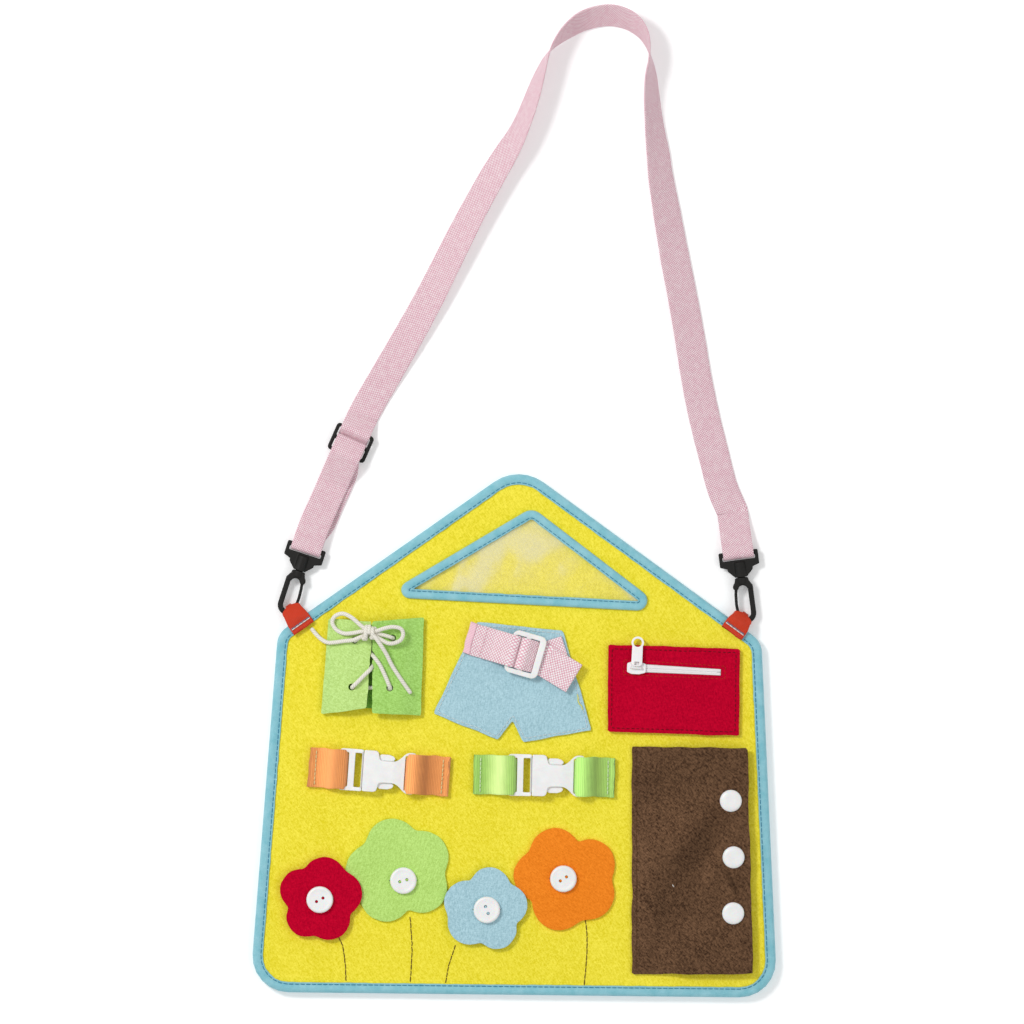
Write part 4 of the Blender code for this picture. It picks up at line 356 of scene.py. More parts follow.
THREADS = {"white": (240, 240, 236), "blue": (60, 140, 175), "pale_blue": (226, 240, 244), "pink": (222, 148, 172),
           "red": (116, 0, 24), "scarlet": (206, 52, 34), "brown": (96, 66, 36), "cream": (248, 222, 160),
           "lime": (226, 250, 196), "yellow": (252, 246, 120)}
for name, shade in THREADS.items():
    M[f"thread_{name}"] = braid(f"{name}_thread", srgb(*shade), 0.4)


# ---- outlines and lines

def rounded(corners, radii, inset=0.0, steps=6):
    """A polygon with its corners listed anticlockwise, moved inwards and rounded."""
    count = len(corners)
    points = [Vector(corner) for corner in corners]
    moved = []
    for i in range(count):
        come = (points[i] - points[i - 1]).normalized()
        leave = (points[(i + 1) % count] - points[i]).normalized()
        come_in = Vector((-come.y, come.x))
        middle = (come_in + Vector((-leave.y, leave.x))).normalized()
        moved.append(points[i] + middle * (inset / middle.dot(come_in)))
    outline = []
    for i in range(count):
        come = (moved[i] - moved[i - 1]).normalized()
        leave = (moved[(i + 1) % count] - moved[i]).normalized()
        radius = max(radii[i] - inset, 0.3)
        turn = math.acos(max(-1.0, min(1.0, come.dot(leave))))
        start_at = moved[i] - come * (radius * math.tan(turn / 2))
        centre = start_at + Vector((-come.y, come.x)) * radius
        first = math.atan2(start_at.y - centre.y, start_at.x - centre.x)
        for step in range(steps + 1):
            angle = first + turn * step / steps
            outline.append((centre.x + radius * math.cos(angle), centre.y + radius * math.sin(angle)))
    return outline


def belt_line(pulleys, step=9.0):
    """A line drawn tight round pulleys of centre, radius and side: +1 turns clockwise, -1 anticlockwise."""
    headings = []
    for (x0, z0, r0, s0), (x1, z1, r1, s1) in zip(pulleys, pulleys[1:]):
        lean = math.asin((r0 * s0 - r1 * s1) / math.hypot(x1 - x0, z1 - z0))
        headings.append(math.atan2(z1 - z0, x1 - x0) - lean)
    headings = [headings[0]] + headings + [headings[-1]]
    line = []
    for (x, z, radius, side), come, leave in zip(pulleys, headings, headings[1:]):
        turn = (side * (come - leave)) % math.tau if radius else 0.0
        turn = 0.0 if turn > math.radians(350.0) else turn
        steps = math.ceil(math.degrees(turn) / step)
        for i in range(steps + 1):
            angle = come - side * turn * i / max(steps, 1)
            line.append((x - math.sin(angle) * radius * side, z + math.cos(angle) * radius * side))
    return line


def smooth(points, spacing):
    """Points at even steps along a smooth curve through the given ones."""
    knots = [Vector(points[0])] + [Vector(p) for p in points] + [Vector(points[-1])]
    fine = []
    for i in range(1, len(knots) - 2):
        p0, p1, p2, p3 = knots[i - 1:i + 3]
        for j in range(16):
            t = j / 16
            fine.append(0.5 * (2 * p1 + (p2 - p0) * t + (2 * p0 - 5 * p1 + 4 * p2 - p3) * t * t
                               + (3 * p1 - p0 - 3 * p2 + p3) * t ** 3))
    fine.append(knots[-1])
    return even(fine, spacing)


def even(points, spacing, closed=False):
    line = [Vector(p) for p in points]
    if closed:
        line.append(line[0])
    lengths = lengths_along(line)
    count = max(2, round(lengths[-1] / spacing))
    result, at = [], 0
    for i in range(count + (0 if closed else 1)):
        target = lengths[-1] * i / count
        while at < len(lengths) - 2 and lengths[at + 1] < target:
            at += 1
        span = lengths[at + 1] - lengths[at]
        result.append(line[at].lerp(line[at + 1], (target - lengths[at]) / span if span else 0.0))
    return result


def sides(outline):
    """Each side of a closed line, as its two ends."""
    return zip(outline, outline[1:] + outline[:1])


def lengths_along(line):
    lengths = [0.0]
    for a, b in zip(line, line[1:]):
        lengths.append(lengths[-1] + (b - a).length)
    return lengths


def step_up(low, high, value):
    t = max(0.0, min(1.0, (value - low) / (high - low)))
    return t * t * (3 - 2 * t)


def hill(value, centre, width):
    return math.exp(-((value - centre) / width) ** 2)


def ripple(x, y, size, seed=0.0):
    return noise.noise(Vector((x / size, y / size, seed)))


def edge_distance(x, y, outline):
    """Distance from a point to the nearest side of an outline."""
    best = 1e9
    for (ax, ay), (bx, by) in sides(outline):
        dx, dy = bx - ax, by - ay
        t = max(0.0, min(1.0, ((x - ax) * dx + (y - ay) * dy) / (dx * dx + dy * dy + 1e-12)))
        best = min(best, math.hypot(ax + dx * t - x, ay + dy * t - y))
    return best


def laid(outline):
    """Works out a sheet's width, length and area from the outline it was cut to, in mm; nothing is done with them."""
    width = (max(p[0] for p in outline) - min(p[0] for p in outline)) * MM
    length = (max(p[1] for p in outline) - min(p[1] for p in outline)) * MM
    area = abs(sum(ax * by - bx * ay for (ax, ay), (bx, by) in sides(outline))) / 2e6


def place(x, y, z=0.0, heading=0.0):
    return Matrix.Translation((x, y, z)) @ Matrix.Rotation(math.radians(heading), 4, "Z")


# ---- meshes, all in millimetres until they become a piece

class Shape:
    def __init__(self):
        self.points, self.faces, self.uvs = [], [], []

    def rings(self, rings, closed=False):
        """Quads between rings of points, with the length round and along them in mm as UVs."""
        base, count, rows = len(self.points), len(rings[0]), len(rings)
        around = [0.0]
        for j in range(count):
            around.append(around[-1] + (rings[0][(j + 1) % count] - rings[0][j]).length)
        along = [0.0]
        for i in range(rows):
            here, after = rings[i], rings[(i + 1) % rows]
            along.append(along[-1] + sum((b - a).length for a, b in zip(here, after)) / count)
        for ring in rings:
            self.points.extend(ring)
        for i in range(rows if closed else rows - 1):
            for j in range(count):
                k = (j + 1) % count
                m = (i + 1) % rows
                self.faces.append((base + i * count + j, base + i * count + k, base + m * count + k,
                                   base + m * count + j))
                self.uvs.append(((around[j], along[i]), (around[j + 1], along[i]), (around[j + 1], along[i + 1]),
                                 (around[j], along[i + 1])))
        if not closed:
            for ring_at, order in ((0, 1), (rows - 1, -1)):
                face = tuple(base + ring_at * count + j for j in range(count))[::-order]
                self.faces.append(face)
                self.uvs.append(tuple((around[j], along[ring_at]) for j in range(count)))

    def tube(self, points, radius, steps=6, taper=True):
        """A round tube along points; its ends are slightly rounded."""
        line = [Vector(p) for p in points]
        along = (line[1] - line[0]).normalized()
        side = along.orthogonal().normalized()
        rings = []
        last = len(line) - 1
        for i, here in enumerate(line):
            ahead = (line[min(i + 1, last)] - line[max(i - 1, 0)]).normalized()
            side = (side - ahead * side.dot(ahead)).normalized()
            other = ahead.cross(side)
            size = radius * (0.8 if taper and i in (0, last) else 1.0)
            rings.append([here + (side * math.cos(a) + other * math.sin(a)) * size
                          for a in (math.tau * j / steps for j in range(steps))])
        self.rings(rings)

    def band(self, rows, thickness, edge=3, cross_points=9):
        """A flat strip with rounded edges, from rows of centre, crosswise direction, width and up."""
        thin = thickness / 2
        shares = [-1 + 2 * k / (cross_points - 1) for k in range(cross_points)]
        bends = [math.pi * k / (edge + 1) for k in range(1, edge + 1)]
        rings = []
        for centre, cross, width, up in rows:
            flat = width / 2 - thin
            ring = [(t * flat, thin) for t in shares]
            ring += [(flat + thin * math.sin(a), thin * math.cos(a)) for a in bends]
            ring += [(-t * flat, -thin) for t in shares]
            ring += [(-flat - thin * math.sin(a), -thin * math.cos(a)) for a in bends]
            rings.append([centre + cross * a + up * b for a, b in ring])
        self.rings(rings)

    def lathe(self, profile, centre, steps):
        """A profile of radius and height, listed from the axis over the outside and back, turned about Z."""
        cx, cy = centre
        base = len(self.points)
        count = len(profile)
        for i in range(steps):
            a = math.tau * i / steps
            self.points.extend(Vector((cx + r * math.cos(a), cy + r * math.sin(a), z)) for r, z in profile)
        for i in range(steps):
            k = (i + 1) % steps
            for j in range(count - 1):
                self.faces.append((base + i * count + j, base + i * count + j + 1, base + k * count + j + 1,
                                   base + k * count + j))
                self.uvs.append(((i, j), (i, j + 1), (i + 1, j + 1), (i + 1, j)))


def to_mesh(name, shape, matrix=None):
    mesh = bpy.data.meshes.new(name)
    mesh.from_pydata([tuple(p) for p in shape.points], [], shape.faces)
    layer = mesh.uv_layers.new(name="UVMap")
    flat = [c for face in shape.uvs for uv in face for c in uv]
    layer.data.foreach_set("uv", flat)
    full = Matrix.Scale(MM, 4)
    mesh.transform(full @ matrix if matrix else full)
    work = bmesh.new()
    work.from_mesh(mesh)
    bmesh.ops.remove_doubles(work, verts=work.verts, dist=1e-6)
    bmesh.ops.recalc_face_normals(work, faces=work.faces)
    work.to_mesh(mesh)
    work.free()
    return mesh


def linked(name, data):
    """A new object in the scene."""
    obj = bpy.data.objects.new(name, data)
    bpy.context.scene.collection.objects.link(obj)
    return obj


def moved(mesh, matrix):
    """A mesh in metres, moved by a matrix in mm."""
    mesh.transform(Matrix.Scale(MM, 4) @ matrix @ Matrix.Scale(1 / MM, 4))
    return mesh


def piece(name, mesh, material, body, slot, replaces=(), sharp=40.0):
    """A finished piece that rides on a body; without a body it stays where it was made."""
    obj = linked(name, mesh)
    mesh.materials.clear()
    mesh.materials.append(M[material])
    mesh.polygons.foreach_set("use_smooth", [True] * len(mesh.polygons))
    if sharp:
        mesh.set_sharp_from_angle(angle=math.radians(sharp))
    if body:
        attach(obj, body)
    if replaces:
        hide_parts(*([replaces] if isinstance(replaces, str) else replaces))
    return obj


def applied(obj):
    """The object's mesh with its modifiers in it."""
    graph = bpy.context.evaluated_depsgraph_get()
    mesh = bpy.data.meshes.new_from_object(obj.evaluated_get(graph))
    bpy.data.objects.remove(obj)
    return mesh


def solid(name, shape, at, *where, sharp=0):
    """A finished piece from a shape and its place."""
    return piece(name, to_mesh(name, shape, at), *where, sharp=sharp)


def carved(obj, shapes, edge=0.0):
    """The object's mesh with shapes cut out of it and its edges rounded."""
    tools = [linked("cutter", to_mesh("cutter", shape)) for shape in shapes]
    for tool in tools:
        cut = obj.modifiers.new("Boolean", "BOOLEAN")
        cut.object = tool
        cut.operation = "DIFFERENCE"
        cut.solver = "EXACT"
    if edge:
        round_off = obj.modifiers.new("Bevel", "BEVEL")
        round_off.width = edge * MM
        round_off.segments = 2
        round_off.limit_method = "ANGLE"
        round_off.angle_limit = math.radians(55.0)
    made = applied(obj)
    for tool in tools:
        bpy.data.objects.remove(tool)
    return made


def cloth(name, outline, level, thickness, step, height=None, holes=(), edge=0.45, matrix=None, wander=0.14):
    """A felt piece cut to an outline: gridded, set to a height, given thickness and a soft cut edge."""
    work = bmesh.new()
    work.faces.new([work.verts.new((x, y, 0.0)) for x, y in outline])
    for axis in (0, 1):
        low = min(p[axis] for p in outline)
        high = max(p[axis] for p in outline)
        cuts = max(1, round((high - low) / step))
        for i in range(1, cuts):
            at = low + (high - low) * i / cuts
            bmesh.ops.bisect_plane(
                work, geom=work.verts[:] + work.edges[:] + work.faces[:], dist=1e-5,
                plane_co=(at, 0, 0) if axis == 0 else (0, at, 0), plane_no=(1, 0, 0) if axis == 0 else (0, 1, 0))
    for vert in work.verts:
        x, y = vert.co.x, vert.co.y
        vert.co.z = level + (height(x, y) if height else 0.0)
        if vert.is_boundary:
            vert.co.x += wander * ripple(x, y, 1.7, 3.0)
            vert.co.y += wander * ripple(x, y, 1.7, 8.0)
    bmesh.ops.recalc_face_normals(work, faces=work.faces)
    if sum(f.normal.z for f in work.faces) < 0:
        bmesh.ops.reverse_faces(work, faces=work.faces)
    mesh = bpy.data.meshes.new(name)
    work.to_mesh(mesh)
    work.free()
    mesh.transform(Matrix.Scale(MM, 4))
    obj = linked(name, mesh)
    thick = obj.modifiers.new("Solidify", "SOLIDIFY")
    thick.thickness = thickness * MM
    thick.offset = 0.0
    made = carved(obj, holes, edge)
    return moved(made, matrix) if matrix else made


def sheet(name, outline, level, step, look, height=None, holes=(), at=None, thickness=FELT, edge=0.45):
    """A finished sheet; look is its material, body, slot and replaced solid; the slot is not used."""
    return piece(name, cloth(name, outline, level, thickness, step, height, holes, edge, at), *look)


def post(radius, x, y, low, high, steps=24):
    shape = Shape()
    shape.lathe([(0.0, high), (radius, high), (radius, low), (0.0, low)], (x, y), steps)
    return shape


def prism(corners, low, high):
    shape = Shape()
    shape.rings([[Vector((x, y, z)) for x, y in corners] for z in (low, high)])
    return shape


def bar(x0, x1, y0, y1, low, high):
    return prism(((x0, y0), (x1, y0), (x1, y1), (x0, y1)), low, high)


def lifted(points, height, at=Matrix(), wave=None):
    """Points of an outline, set to a height and placed."""
    return [at @ Vector((x, y, height + (wave(x, y) if wave else 0.0))) for x, y in points]


def sewn(name, path, material, body, slot, length, gap, radius, sink=0.25, wobble=0.0, closed=False):
    """Separate stitches along a path, which rise out of the cloth and go back in."""
    shape = Shape()
    line = [Vector(p) for p in path]
    if closed:
        line.append(line[0])
    lengths = lengths_along(line)

    def at(distance):
        lo, hi = 0, len(lengths) - 1
        while hi - lo > 1:
            mid = (lo + hi) // 2
            lo, hi = (mid, hi) if lengths[mid] <= distance else (lo, mid)
        span = lengths[hi] - lengths[lo]
        return line[lo].lerp(line[hi], (distance - lengths[lo]) / span if span else 0.0)

    count = max(1, int(lengths[-1] / (length + gap)))
    pitch = lengths[-1] / count
    for i in range(count):
        begin = pitch * i + gap / 2
        reach = pitch - gap
        points = []
        for share, rise in ((0.0, -sink), (0.12, radius * 0.4), (0.5, radius * 0.9), (0.88, radius * 0.4),
                            (1.0, -sink)):
            spot = at(begin + reach * share)
            side = wobble * noise.noise(spot * 0.9)
            points.append(spot + Vector((side, side, rise)))
        shape.tube(points, radius, taper=False)
    return solid(name, shape, None, material, body, slot)


def neighbours(points):
    """Each point of a closed line between the one before and the one after it."""
    return zip(points[-1:] + points[:-1], points, points[1:] + points[:1])


def offset(corners, inset):
    """A polygon, listed anticlockwise, moved inwards; it may have inner corners."""
    result = []
    for before, here, after in neighbours([Vector(corner) for corner in corners]):
        come = (here - before).normalized()
        leave = (after - here).normalized()
        come_in = Vector((-come.y, come.x))
        middle = (come_in + Vector((-leave.y, leave.x))).normalized()
        moved = here + middle * (inset / max(middle.dot(come_in), 0.3))
        result.append((moved.x, moved.y))
    return result


def soften(corners, radius, steps=6, bow=0.0, grain=4.0, seed=0.0):
    """A polygon with small round corners and sides that wander a little, as cut by hand."""
    outline = []
    for before, here, after in neighbours([Vector(corner) for corner in corners]):
        come, leave = here - before, after - here
        first = here - come.normalized() * min(radius, come.length * 0.4)
        last = here + leave.normalized() * min(radius, leave.length * 0.4)
        for step in range(steps + 1):
            t = step / steps
            outline.append(first.lerp(here, t).lerp(here.lerp(last, t), t))
    result = []
    for here, after in sides(even(outline, grain, True)):
        along = (after - here).normalized()
        wander = bow * noise.noise(Vector((here.x / 14.0, here.y / 14.0, seed)))
        result.append((here.x - along.y * wander, here.y + along.x * wander))
    return result


def swept(corners, radii, profile, step, warp):
    """A profile of inset and height carried round a rounded outline."""
    base = rounded(corners, radii)
    counts = [max(1, round(math.dist(a, b) / step)) for a, b in sides(base)]
    columns = []
    for inset, z in profile:
        line = rounded(corners, radii, inset)
        column = []
        for (ax, ay), (bx, by), count in zip(line, line[1:] + line[:1], counts):
            for i in range(count):
                t = i / count
                column.append(Vector((ax + (bx - ax) * t, ay + (by - ay) * t, z)))
        columns.append(column)
    rings = [[warp(column[i], inset) for column, (inset, _) in zip(columns, profile)]
             for i in range(len(columns[0]))]
    shape = Shape()
    shape.rings(rings, closed=True)
    return shape


def ribbon(rows, width_at, thickness, warp=None):
    """A strip along rows of centre and crosswise direction; width_at gives its width at a centre."""
    full = []
    last = len(rows) - 1
    for i, (here, cross) in enumerate(rows):
        ahead = (rows[min(i + 1, last)][0] - rows[max(i - 1, 0)][0]).normalized()
        cross = (cross - ahead * cross.dot(ahead)).normalized()
        full.append((here, cross, width_at(here), cross.cross(ahead).normalized()))
    shape = Shape()
    shape.band(full, thickness)
    if warp:
        shape.points = [warp(p) for p in shape.points]
    return shape


def strip(line, width_at, thickness, warp):
    """A ribbon whose line lies in the local XZ plane."""
    return ribbon([(Vector((p.x, 0.0, p.y)), ACROSS) for p in even(line, 0.9)], width_at, thickness, warp)


def corded(points):
    """Works out a cord's path in metres and its length from its centreline in mm; nothing is done with them."""
    path = [p * MM for p in points]
    length = sum((b - a).length for a, b in zip(path, path[1:]))
    tuple(path[0])
    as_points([tuple(p) for p in path[::4]] + [tuple(path[-1])])


def scaled(shares, width, height):
    return [(width * x, height * y) for x, y in shares]


# ---- the board

BOARD = 334.0
BOARD_SHARES = ((-0.5042, -0.488), (0.5024, -0.4994), (0.4719, 0.1797), (0.0096, 0.5177), (-0.4503, 0.1955))
BOARD_RADII = (23.0, 23.0, 14.0, 27.0, 14.0)
board_corners = scaled(BOARD_SHARES, BOARD, BOARD)
board_edge = rounded(board_corners, BOARD_RADII)
shift = [(min(p[i] for p in board_edge) + max(p[i] for p in board_edge)) / 2 for i in (0, 1)]
board_corners = [(x - shift[0], y - shift[1]) for x, y in board_corners]


def board_place(x, y, heading=0.0):
    """A place on the board by shares of its width."""
    return place(BOARD * x, BOARD * y, 0.0, heading)


def board_wave(x, y):
    return 0.10 * ripple(x, y, 30.0, 1.0) + 0.05 * ripple(x, y, 9.0, 5.0)


felt_edge = rounded(board_corners, BOARD_RADII, 1.6)
for name, level, step, under in (("front", FRONT_Z, 5.0, "core_board"), ("back", BACK_Z, 8.0, "edge_tape")):
    layer = sheet(name, felt_edge, level, step, ("yellow", "board", "yellow_felt", f"{name}_felt"), board_wave)
    laid(felt_edge)


def puckered(low, high, groove):
    """Bias tape pulled in by its stitches: it swells between the groove and the edge."""
    middle = (low + high) / 2

    def warp(p, inset):
        swell = 0.16 * noise.noise(p / 5.0) + 0.26 * noise.noise(p / 2.3)
        if p.z > middle + (high - low) * 0.3:
            p.z += swell * (1.0 if abs(inset - groove) > 0.9 else 0.3) - 0.05
        elif p.z < low + (high - low) * 0.1:
            p.z += 0.1 * abs(swell)
        if inset > groove:
            sign = 0.35 * noise.noise(p / 7.0 + Vector((9.0, 0.0, 0.0)))
            toward = Vector((-p.x, -p.y, 0.0)).normalized()
            p += toward * sign
        return p
    return warp


EDGE_PROFILE = (
    (6.55, 7.08), (6.7, 7.35), (6.45, 7.62), (6.0, 7.60), (5.45, 7.30), (4.9, 7.52), (4.1, 7.78), (3.0, 7.88),
    (2.0, 7.80), (1.1, 7.45), (0.45, 6.75), (0.1, 5.7), (0.0, 4.4), (0.0, 3.2), (0.15, 2.0), (0.5, 1.0), (1.2, 0.3),
    (2.2, 0.02), (3.6, 0.0), (5.0, 0.02), (6.2, 0.1), (6.65, 0.4), (6.5, 0.8), (5.0, 0.92), (2.4, 0.94), (1.3, 1.2),
    (0.95, 2.0), (0.9, 4.0), (0.95, 5.8), (1.3, 6.8), (2.4, 7.02), (5.0, 7.05))
solid("edge_tape", swept(board_corners, BOARD_RADII, EDGE_PROFILE, 1.2, puckered(0.0, 7.9, EDGE_SEAM)), None,
      "tape", "board", "blue_binding", "edge_binding")
edge_seam = rounded(board_corners, BOARD_RADII, EDGE_SEAM)
sewn("edge_stitches", lifted(edge_seam, 7.42), "thread_blue", "board", "blue_binding", 2.7, 0.9, 0.24, closed=True)
sewn("edge_stitches_back", lifted(edge_seam, 0.34), "thread_blue", "board", "blue_binding", 2.7, 0.9, 0.2, -0.3,
     closed=True)

WINDOW_CORNERS = scaled(((0.037, 0.484), (-0.5815, -0.404), (0.598, -0.557)), 156.0, 64.3)
WINDOW_RADII = (9.0, 5.5, 6.5)
WINDOW_PROFILE = (
    (6.05, 8.75), (6.2, 9.0), (5.95, 9.22), (5.5, 9.2), (5.0, 8.98), (4.5, 9.16), (3.7, 9.42), (2.7, 9.5),
    (1.7, 9.4), (0.8, 9.0), (0.25, 8.4), (0.1, 7.8), (0.3, 7.3), (0.8, 7.05), (3.0, 7.03), (5.5, 7.03), (6.15, 7.3),
    (6.1, 7.7), (4.5, 7.78), (2.4, 7.8), (1.9, 8.0), (1.9, 8.55), (2.4, 8.66), (4.5, 8.68))
window_at = board_place(0.0172, 0.3425)
solid("window_tape", swept(WINDOW_CORNERS, WINDOW_RADII, WINDOW_PROFILE, 1.1, puckered(7.0, 9.5, WINDOW_SEAM)),
      window_at, "tape", "board", "blue_binding", "window_binding")
sewn("window_stitches", lifted(rounded(WINDOW_CORNERS, WINDOW_RADII, WINDOW_SEAM), 9.12, window_at), "thread_blue",
     "board", "blue_binding", 2.6, 0.9, 0.22, closed=True)


def pane_wave(x, y):
    rim = step_up(0.0, 9.0, edge_distance(x, y, pane_outline) - 4.0)
    return rim * (0.42 * noise.noise(Vector((x / 19.0 + y / 50.0, y / 11.0, 2.0))) + 0.1 * ripple(x, y, 7.0, 6.0))


pane_outline = rounded(WINDOW_CORNERS, WINDOW_RADII, 2.2)
pane = sheet("window_pane", pane_outline, PANE_Z, 2.0, ("vinyl", "board", "clear_vinyl", "window_sheet"), pane_wave,
             at=window_at, thickness=0.3, edge=0.1)
laid(pane_outline)


# ---- lace panel

PANEL_SIZE = (62.0, 61.6)
panel_at = board_place(-0.2677, 0.1322)
LEFT_FLAP = ((-0.46, 0.498), (-0.022, 0.468), (-0.022, 0.23), (-0.073, -0.43), (-0.54, -0.49))
RIGHT_FLAP = ((-0.012, 0.468), (0.517, 0.505), (0.484, -0.505), (-0.014, -0.48), (-0.012, 0.23))
HOLES = scaled(((-0.19, 0.269), (0.2, 0.292), (-0.218, -0.214), (0.171, -0.224)), *PANEL_SIZE)
left_flap = scaled(LEFT_FLAP, *PANEL_SIZE)[::-1]
right_flap = scaled(RIGHT_FLAP, *PANEL_SIZE)[::-1]
backing_corners = [left_flap[0], right_flap[2], right_flap[3], left_flap[4]]
sheet("panel_backing", soften(offset(backing_corners, 4.2), 0.8), BACKING_Z, 5.0,
      ("backing", "board", "dark_green_felt", "lace_backing"), at=panel_at, thickness=1.4)


def flap_rise(x, y):
    bulge = 0.5 * hill(x, 0.0, 9.0) * noise.noise(Vector((y / 9.0, 4.0, 0.0)))
    return 3.8 * (1.0 - step_up(15.0, 30.2, abs(x))) + bulge + 0.12 * ripple(x, y, 8.0, 2.0)


def pulled(outline, side):
    """The slit's edges stand back where the lace comes up through it."""
    result = []
    for x, y in outline:
        if abs(x) < 7.5 and -28.5 < y < 28.0:
            x += 0.35 * ripple(side * 3.0, y, 5.0, side)
            for cx, cy in ((-0.4, 7.1), (-1.2, -0.5)):
                opened = hill(y, cy, 2.3)
                x = min(x, cx - 1.7 * opened) if side < 0 else max(x, cx - 1.0 + 2.7 * opened)
        result.append((x, y))
    return result


for name, corners, side, shade in (("left", left_flap, -1, "pale_green"), ("right", right_flap, 1, "green")):
    outline = pulled(soften(corners, 0.8, bow=0.5, grain=1.6, seed=side), side)
    cut = [post(2.2, hx - 0.3, hy + 0.3, *THROUGH) for hx, hy in HOLES if hx * side > 0]
    flap = sheet(f"lace_{name}", outline, FLAP_Z, 2.4, (shade, "board", "green_felt", f"lace_{name}_flap"), flap_rise,
                 cut, panel_at)
    laid(outline)

LACED = (
    (-3.0, 21.2, 10.4), (-6.6, 19.8, 9.8), (-9.0, 18.5, 9.5), (-11.2, 17.0, 8.7), (-11.9, 16.5, 6.6),
    (-11.2, 15.9, 4.8), (-9.2, 14.4, 3.7), (-6.0, 12.0, 3.4), (-3.2, 9.8, 3.5), (-1.6, 8.2, 4.5), (-0.45, 7.1, 6.6),
    (0.7, 5.9, 8.8), (2.3, 3.8, 9.6), (4.5, 0.4, 9.6), (7.6, -6.2, 9.6), (9.8, -11.5, 9.0), (10.7, -13.9, 6.6),
    (9.8, -14.0, 4.6), (7.0, -13.8, 3.6), (0.0, -13.5, 3.5), (-10.0, -13.3, 3.6), (-12.8, -13.2, 4.6),
    (-13.6, -13.3, 6.6), (-12.8, -12.3, 8.9), (-10.4, -10.0, 9.6), (-5.8, -5.3, 9.7), (-3.6, -3.2, 9.6),
    (-2.2, -1.8, 8.8), (-1.2, -0.5, 6.6), (-0.1, 0.9, 4.5), (1.4, 2.6, 3.5), (4.2, 6.0, 3.4), (9.4, 14.2, 3.6),
    (11.7, 17.1, 4.7), (12.5, 18.1, 6.6), (11.4, 18.6, 8.9), (8.4, 19.6, 9.7), (4.6, 20.6, 9.9), (1.0, 21.2, 10.4))
LEFT_LOOP = (
    (-3.6, 22.6, 11.6), (-8.4, 26.6, 11.2), (-14.0, 31.4, 10.2), (-19.6, 33.8, 9.0), (-24.6, 32.0, 7.6),
    (-26.2, 28.0, 7.0), (-23.6, 23.6, 7.6), (-18.6, 21.2, 8.8), (-12.6, 21.6, 10.6), (-8.2, 22.4, 11.6),
    (-4.4, 22.2, 11.6))
RIGHT_LOOP = (
    (-3.0, 21.6, 11.4), (2.0, 22.8, 12.0), (7.4, 24.6, 12.2), (12.6, 25.4, 12.2), (17.4, 24.2, 11.6),
    (18.9, 20.9, 11.2), (17.4, 17.2, 11.4), (13.6, 15.2, 11.8), (9.4, 15.0, 12.2), (4.6, 17.4, 12.0),
    (-1.0, 20.6, 11.2))
LEFT_TAIL = (
    (-4.2, 20.6, 10.6), (-8.6, 18.8, 11.2), (-13.2, 17.0, 10.4), (-18.6, 16.4, 9.2), (-24.0, 15.6, 7.4),
    (-29.2, 15.4, 5.8), (-33.2, 17.4, 4.2), (-36.8, 20.8, 2.9), (-39.7, 24.4, 2.2))
RIGHT_TAIL = (
    (-3.4, 22.2, 12.0), (-1.0, 21.0, 13.4), (2.0, 17.8, 14.0), (5.4, 12.8, 13.2), (8.6, 7.4, 11.4),
    (11.4, 1.6, 10.2), (15.2, -4.6, 9.4), (19.4, -10.8, 8.2), (23.7, -17.0, 6.8))
route = LEFT_TAIL[::-1] + LEFT_LOOP + LACED + RIGHT_LOOP + RIGHT_TAIL
lace_line = smooth([(x, y, z + FRONT_TOP) for x, y, z in route], 0.9)
lace_shape = Shape()
lace_shape.tube(lace_line, 1.32, 12)
lace = solid("cotton_lace", lace_shape, panel_at, "lace", "board", "white_cotton", "lace")
knot_shape = Shape()
for cx, cy, along, high, deep, count in ((-4.4, 21.7, 2.9, 3.9, 3.0, 1.9), (-0.3, 21.4, 2.0, 3.0, 2.9, 1.6)):
    turns = []
    for i in range(61):
        t, angle = i / 60, math.tau * count * i / 60 + 2.4
        turns.append(Vector((cx + along * (t - 0.5) + 0.3 * math.sin(t * 9.0) - 0.12 * cx * math.cos(angle),
                             cy + high * math.cos(angle), 17.9 + deep * math.sin(angle))))
    knot_shape.tube(turns, 1.35, 12)
knot = solid("lace_knot", knot_shape, panel_at, "lace", "board", "white_cotton")
corded([panel_at @ p for p in lace_line])


# ---- shorts and belt

SHORTS_AT = board_place(-0.0031, 0.103)
SHORTS = scaled((
    (-0.223, 0.5), (0.316, 0.424), (0.5, -0.402), (0.067, -0.5), (0.0, -0.318), (-0.092, -0.481), (-0.5, -0.262),
    (-0.323, 0.233)), 100.7, 76.5)[::-1]


def shorts_wave(x, y):
    return 0.10 * ripple(x, y, 13.0, 3.0)


shorts = sheet("shorts", soften(SHORTS, 0.9, bow=0.6, grain=1.8, seed=4.0), SHORTS_Z, 4.0,
               ("blue", "board", "blue_felt", "shorts_felt"), shorts_wave, at=SHORTS_AT)
laid(SHORTS)
seam = even(soften(offset(SHORTS, 1.9), 1.2, bow=0.5, grain=2.0, seed=9.0), 1.0, True)
sewn("shorts_stitches", lifted(seam, SHORTS_TOP, SHORTS_AT, shorts_wave), "thread_pale_blue", "board", "blue_felt",
     2.2, 0.9, 0.27, closed=True)
loose = Shape()
loose.tube([Vector((x, y, 8.75 + 0.25 * (i % 2))) for i, (x, y) in enumerate((
    (40.2, 26.5), (40.7, 24.6), (40.6, 22.6), (41.4, 20.4), (42.2, 19.6), (42.8, 19.4), (43.3, 17.6),
    (43.6, 16.6)))],
           0.36)
solid("loose_thread", loose, None, "thread_yellow", "board", "blue_felt")

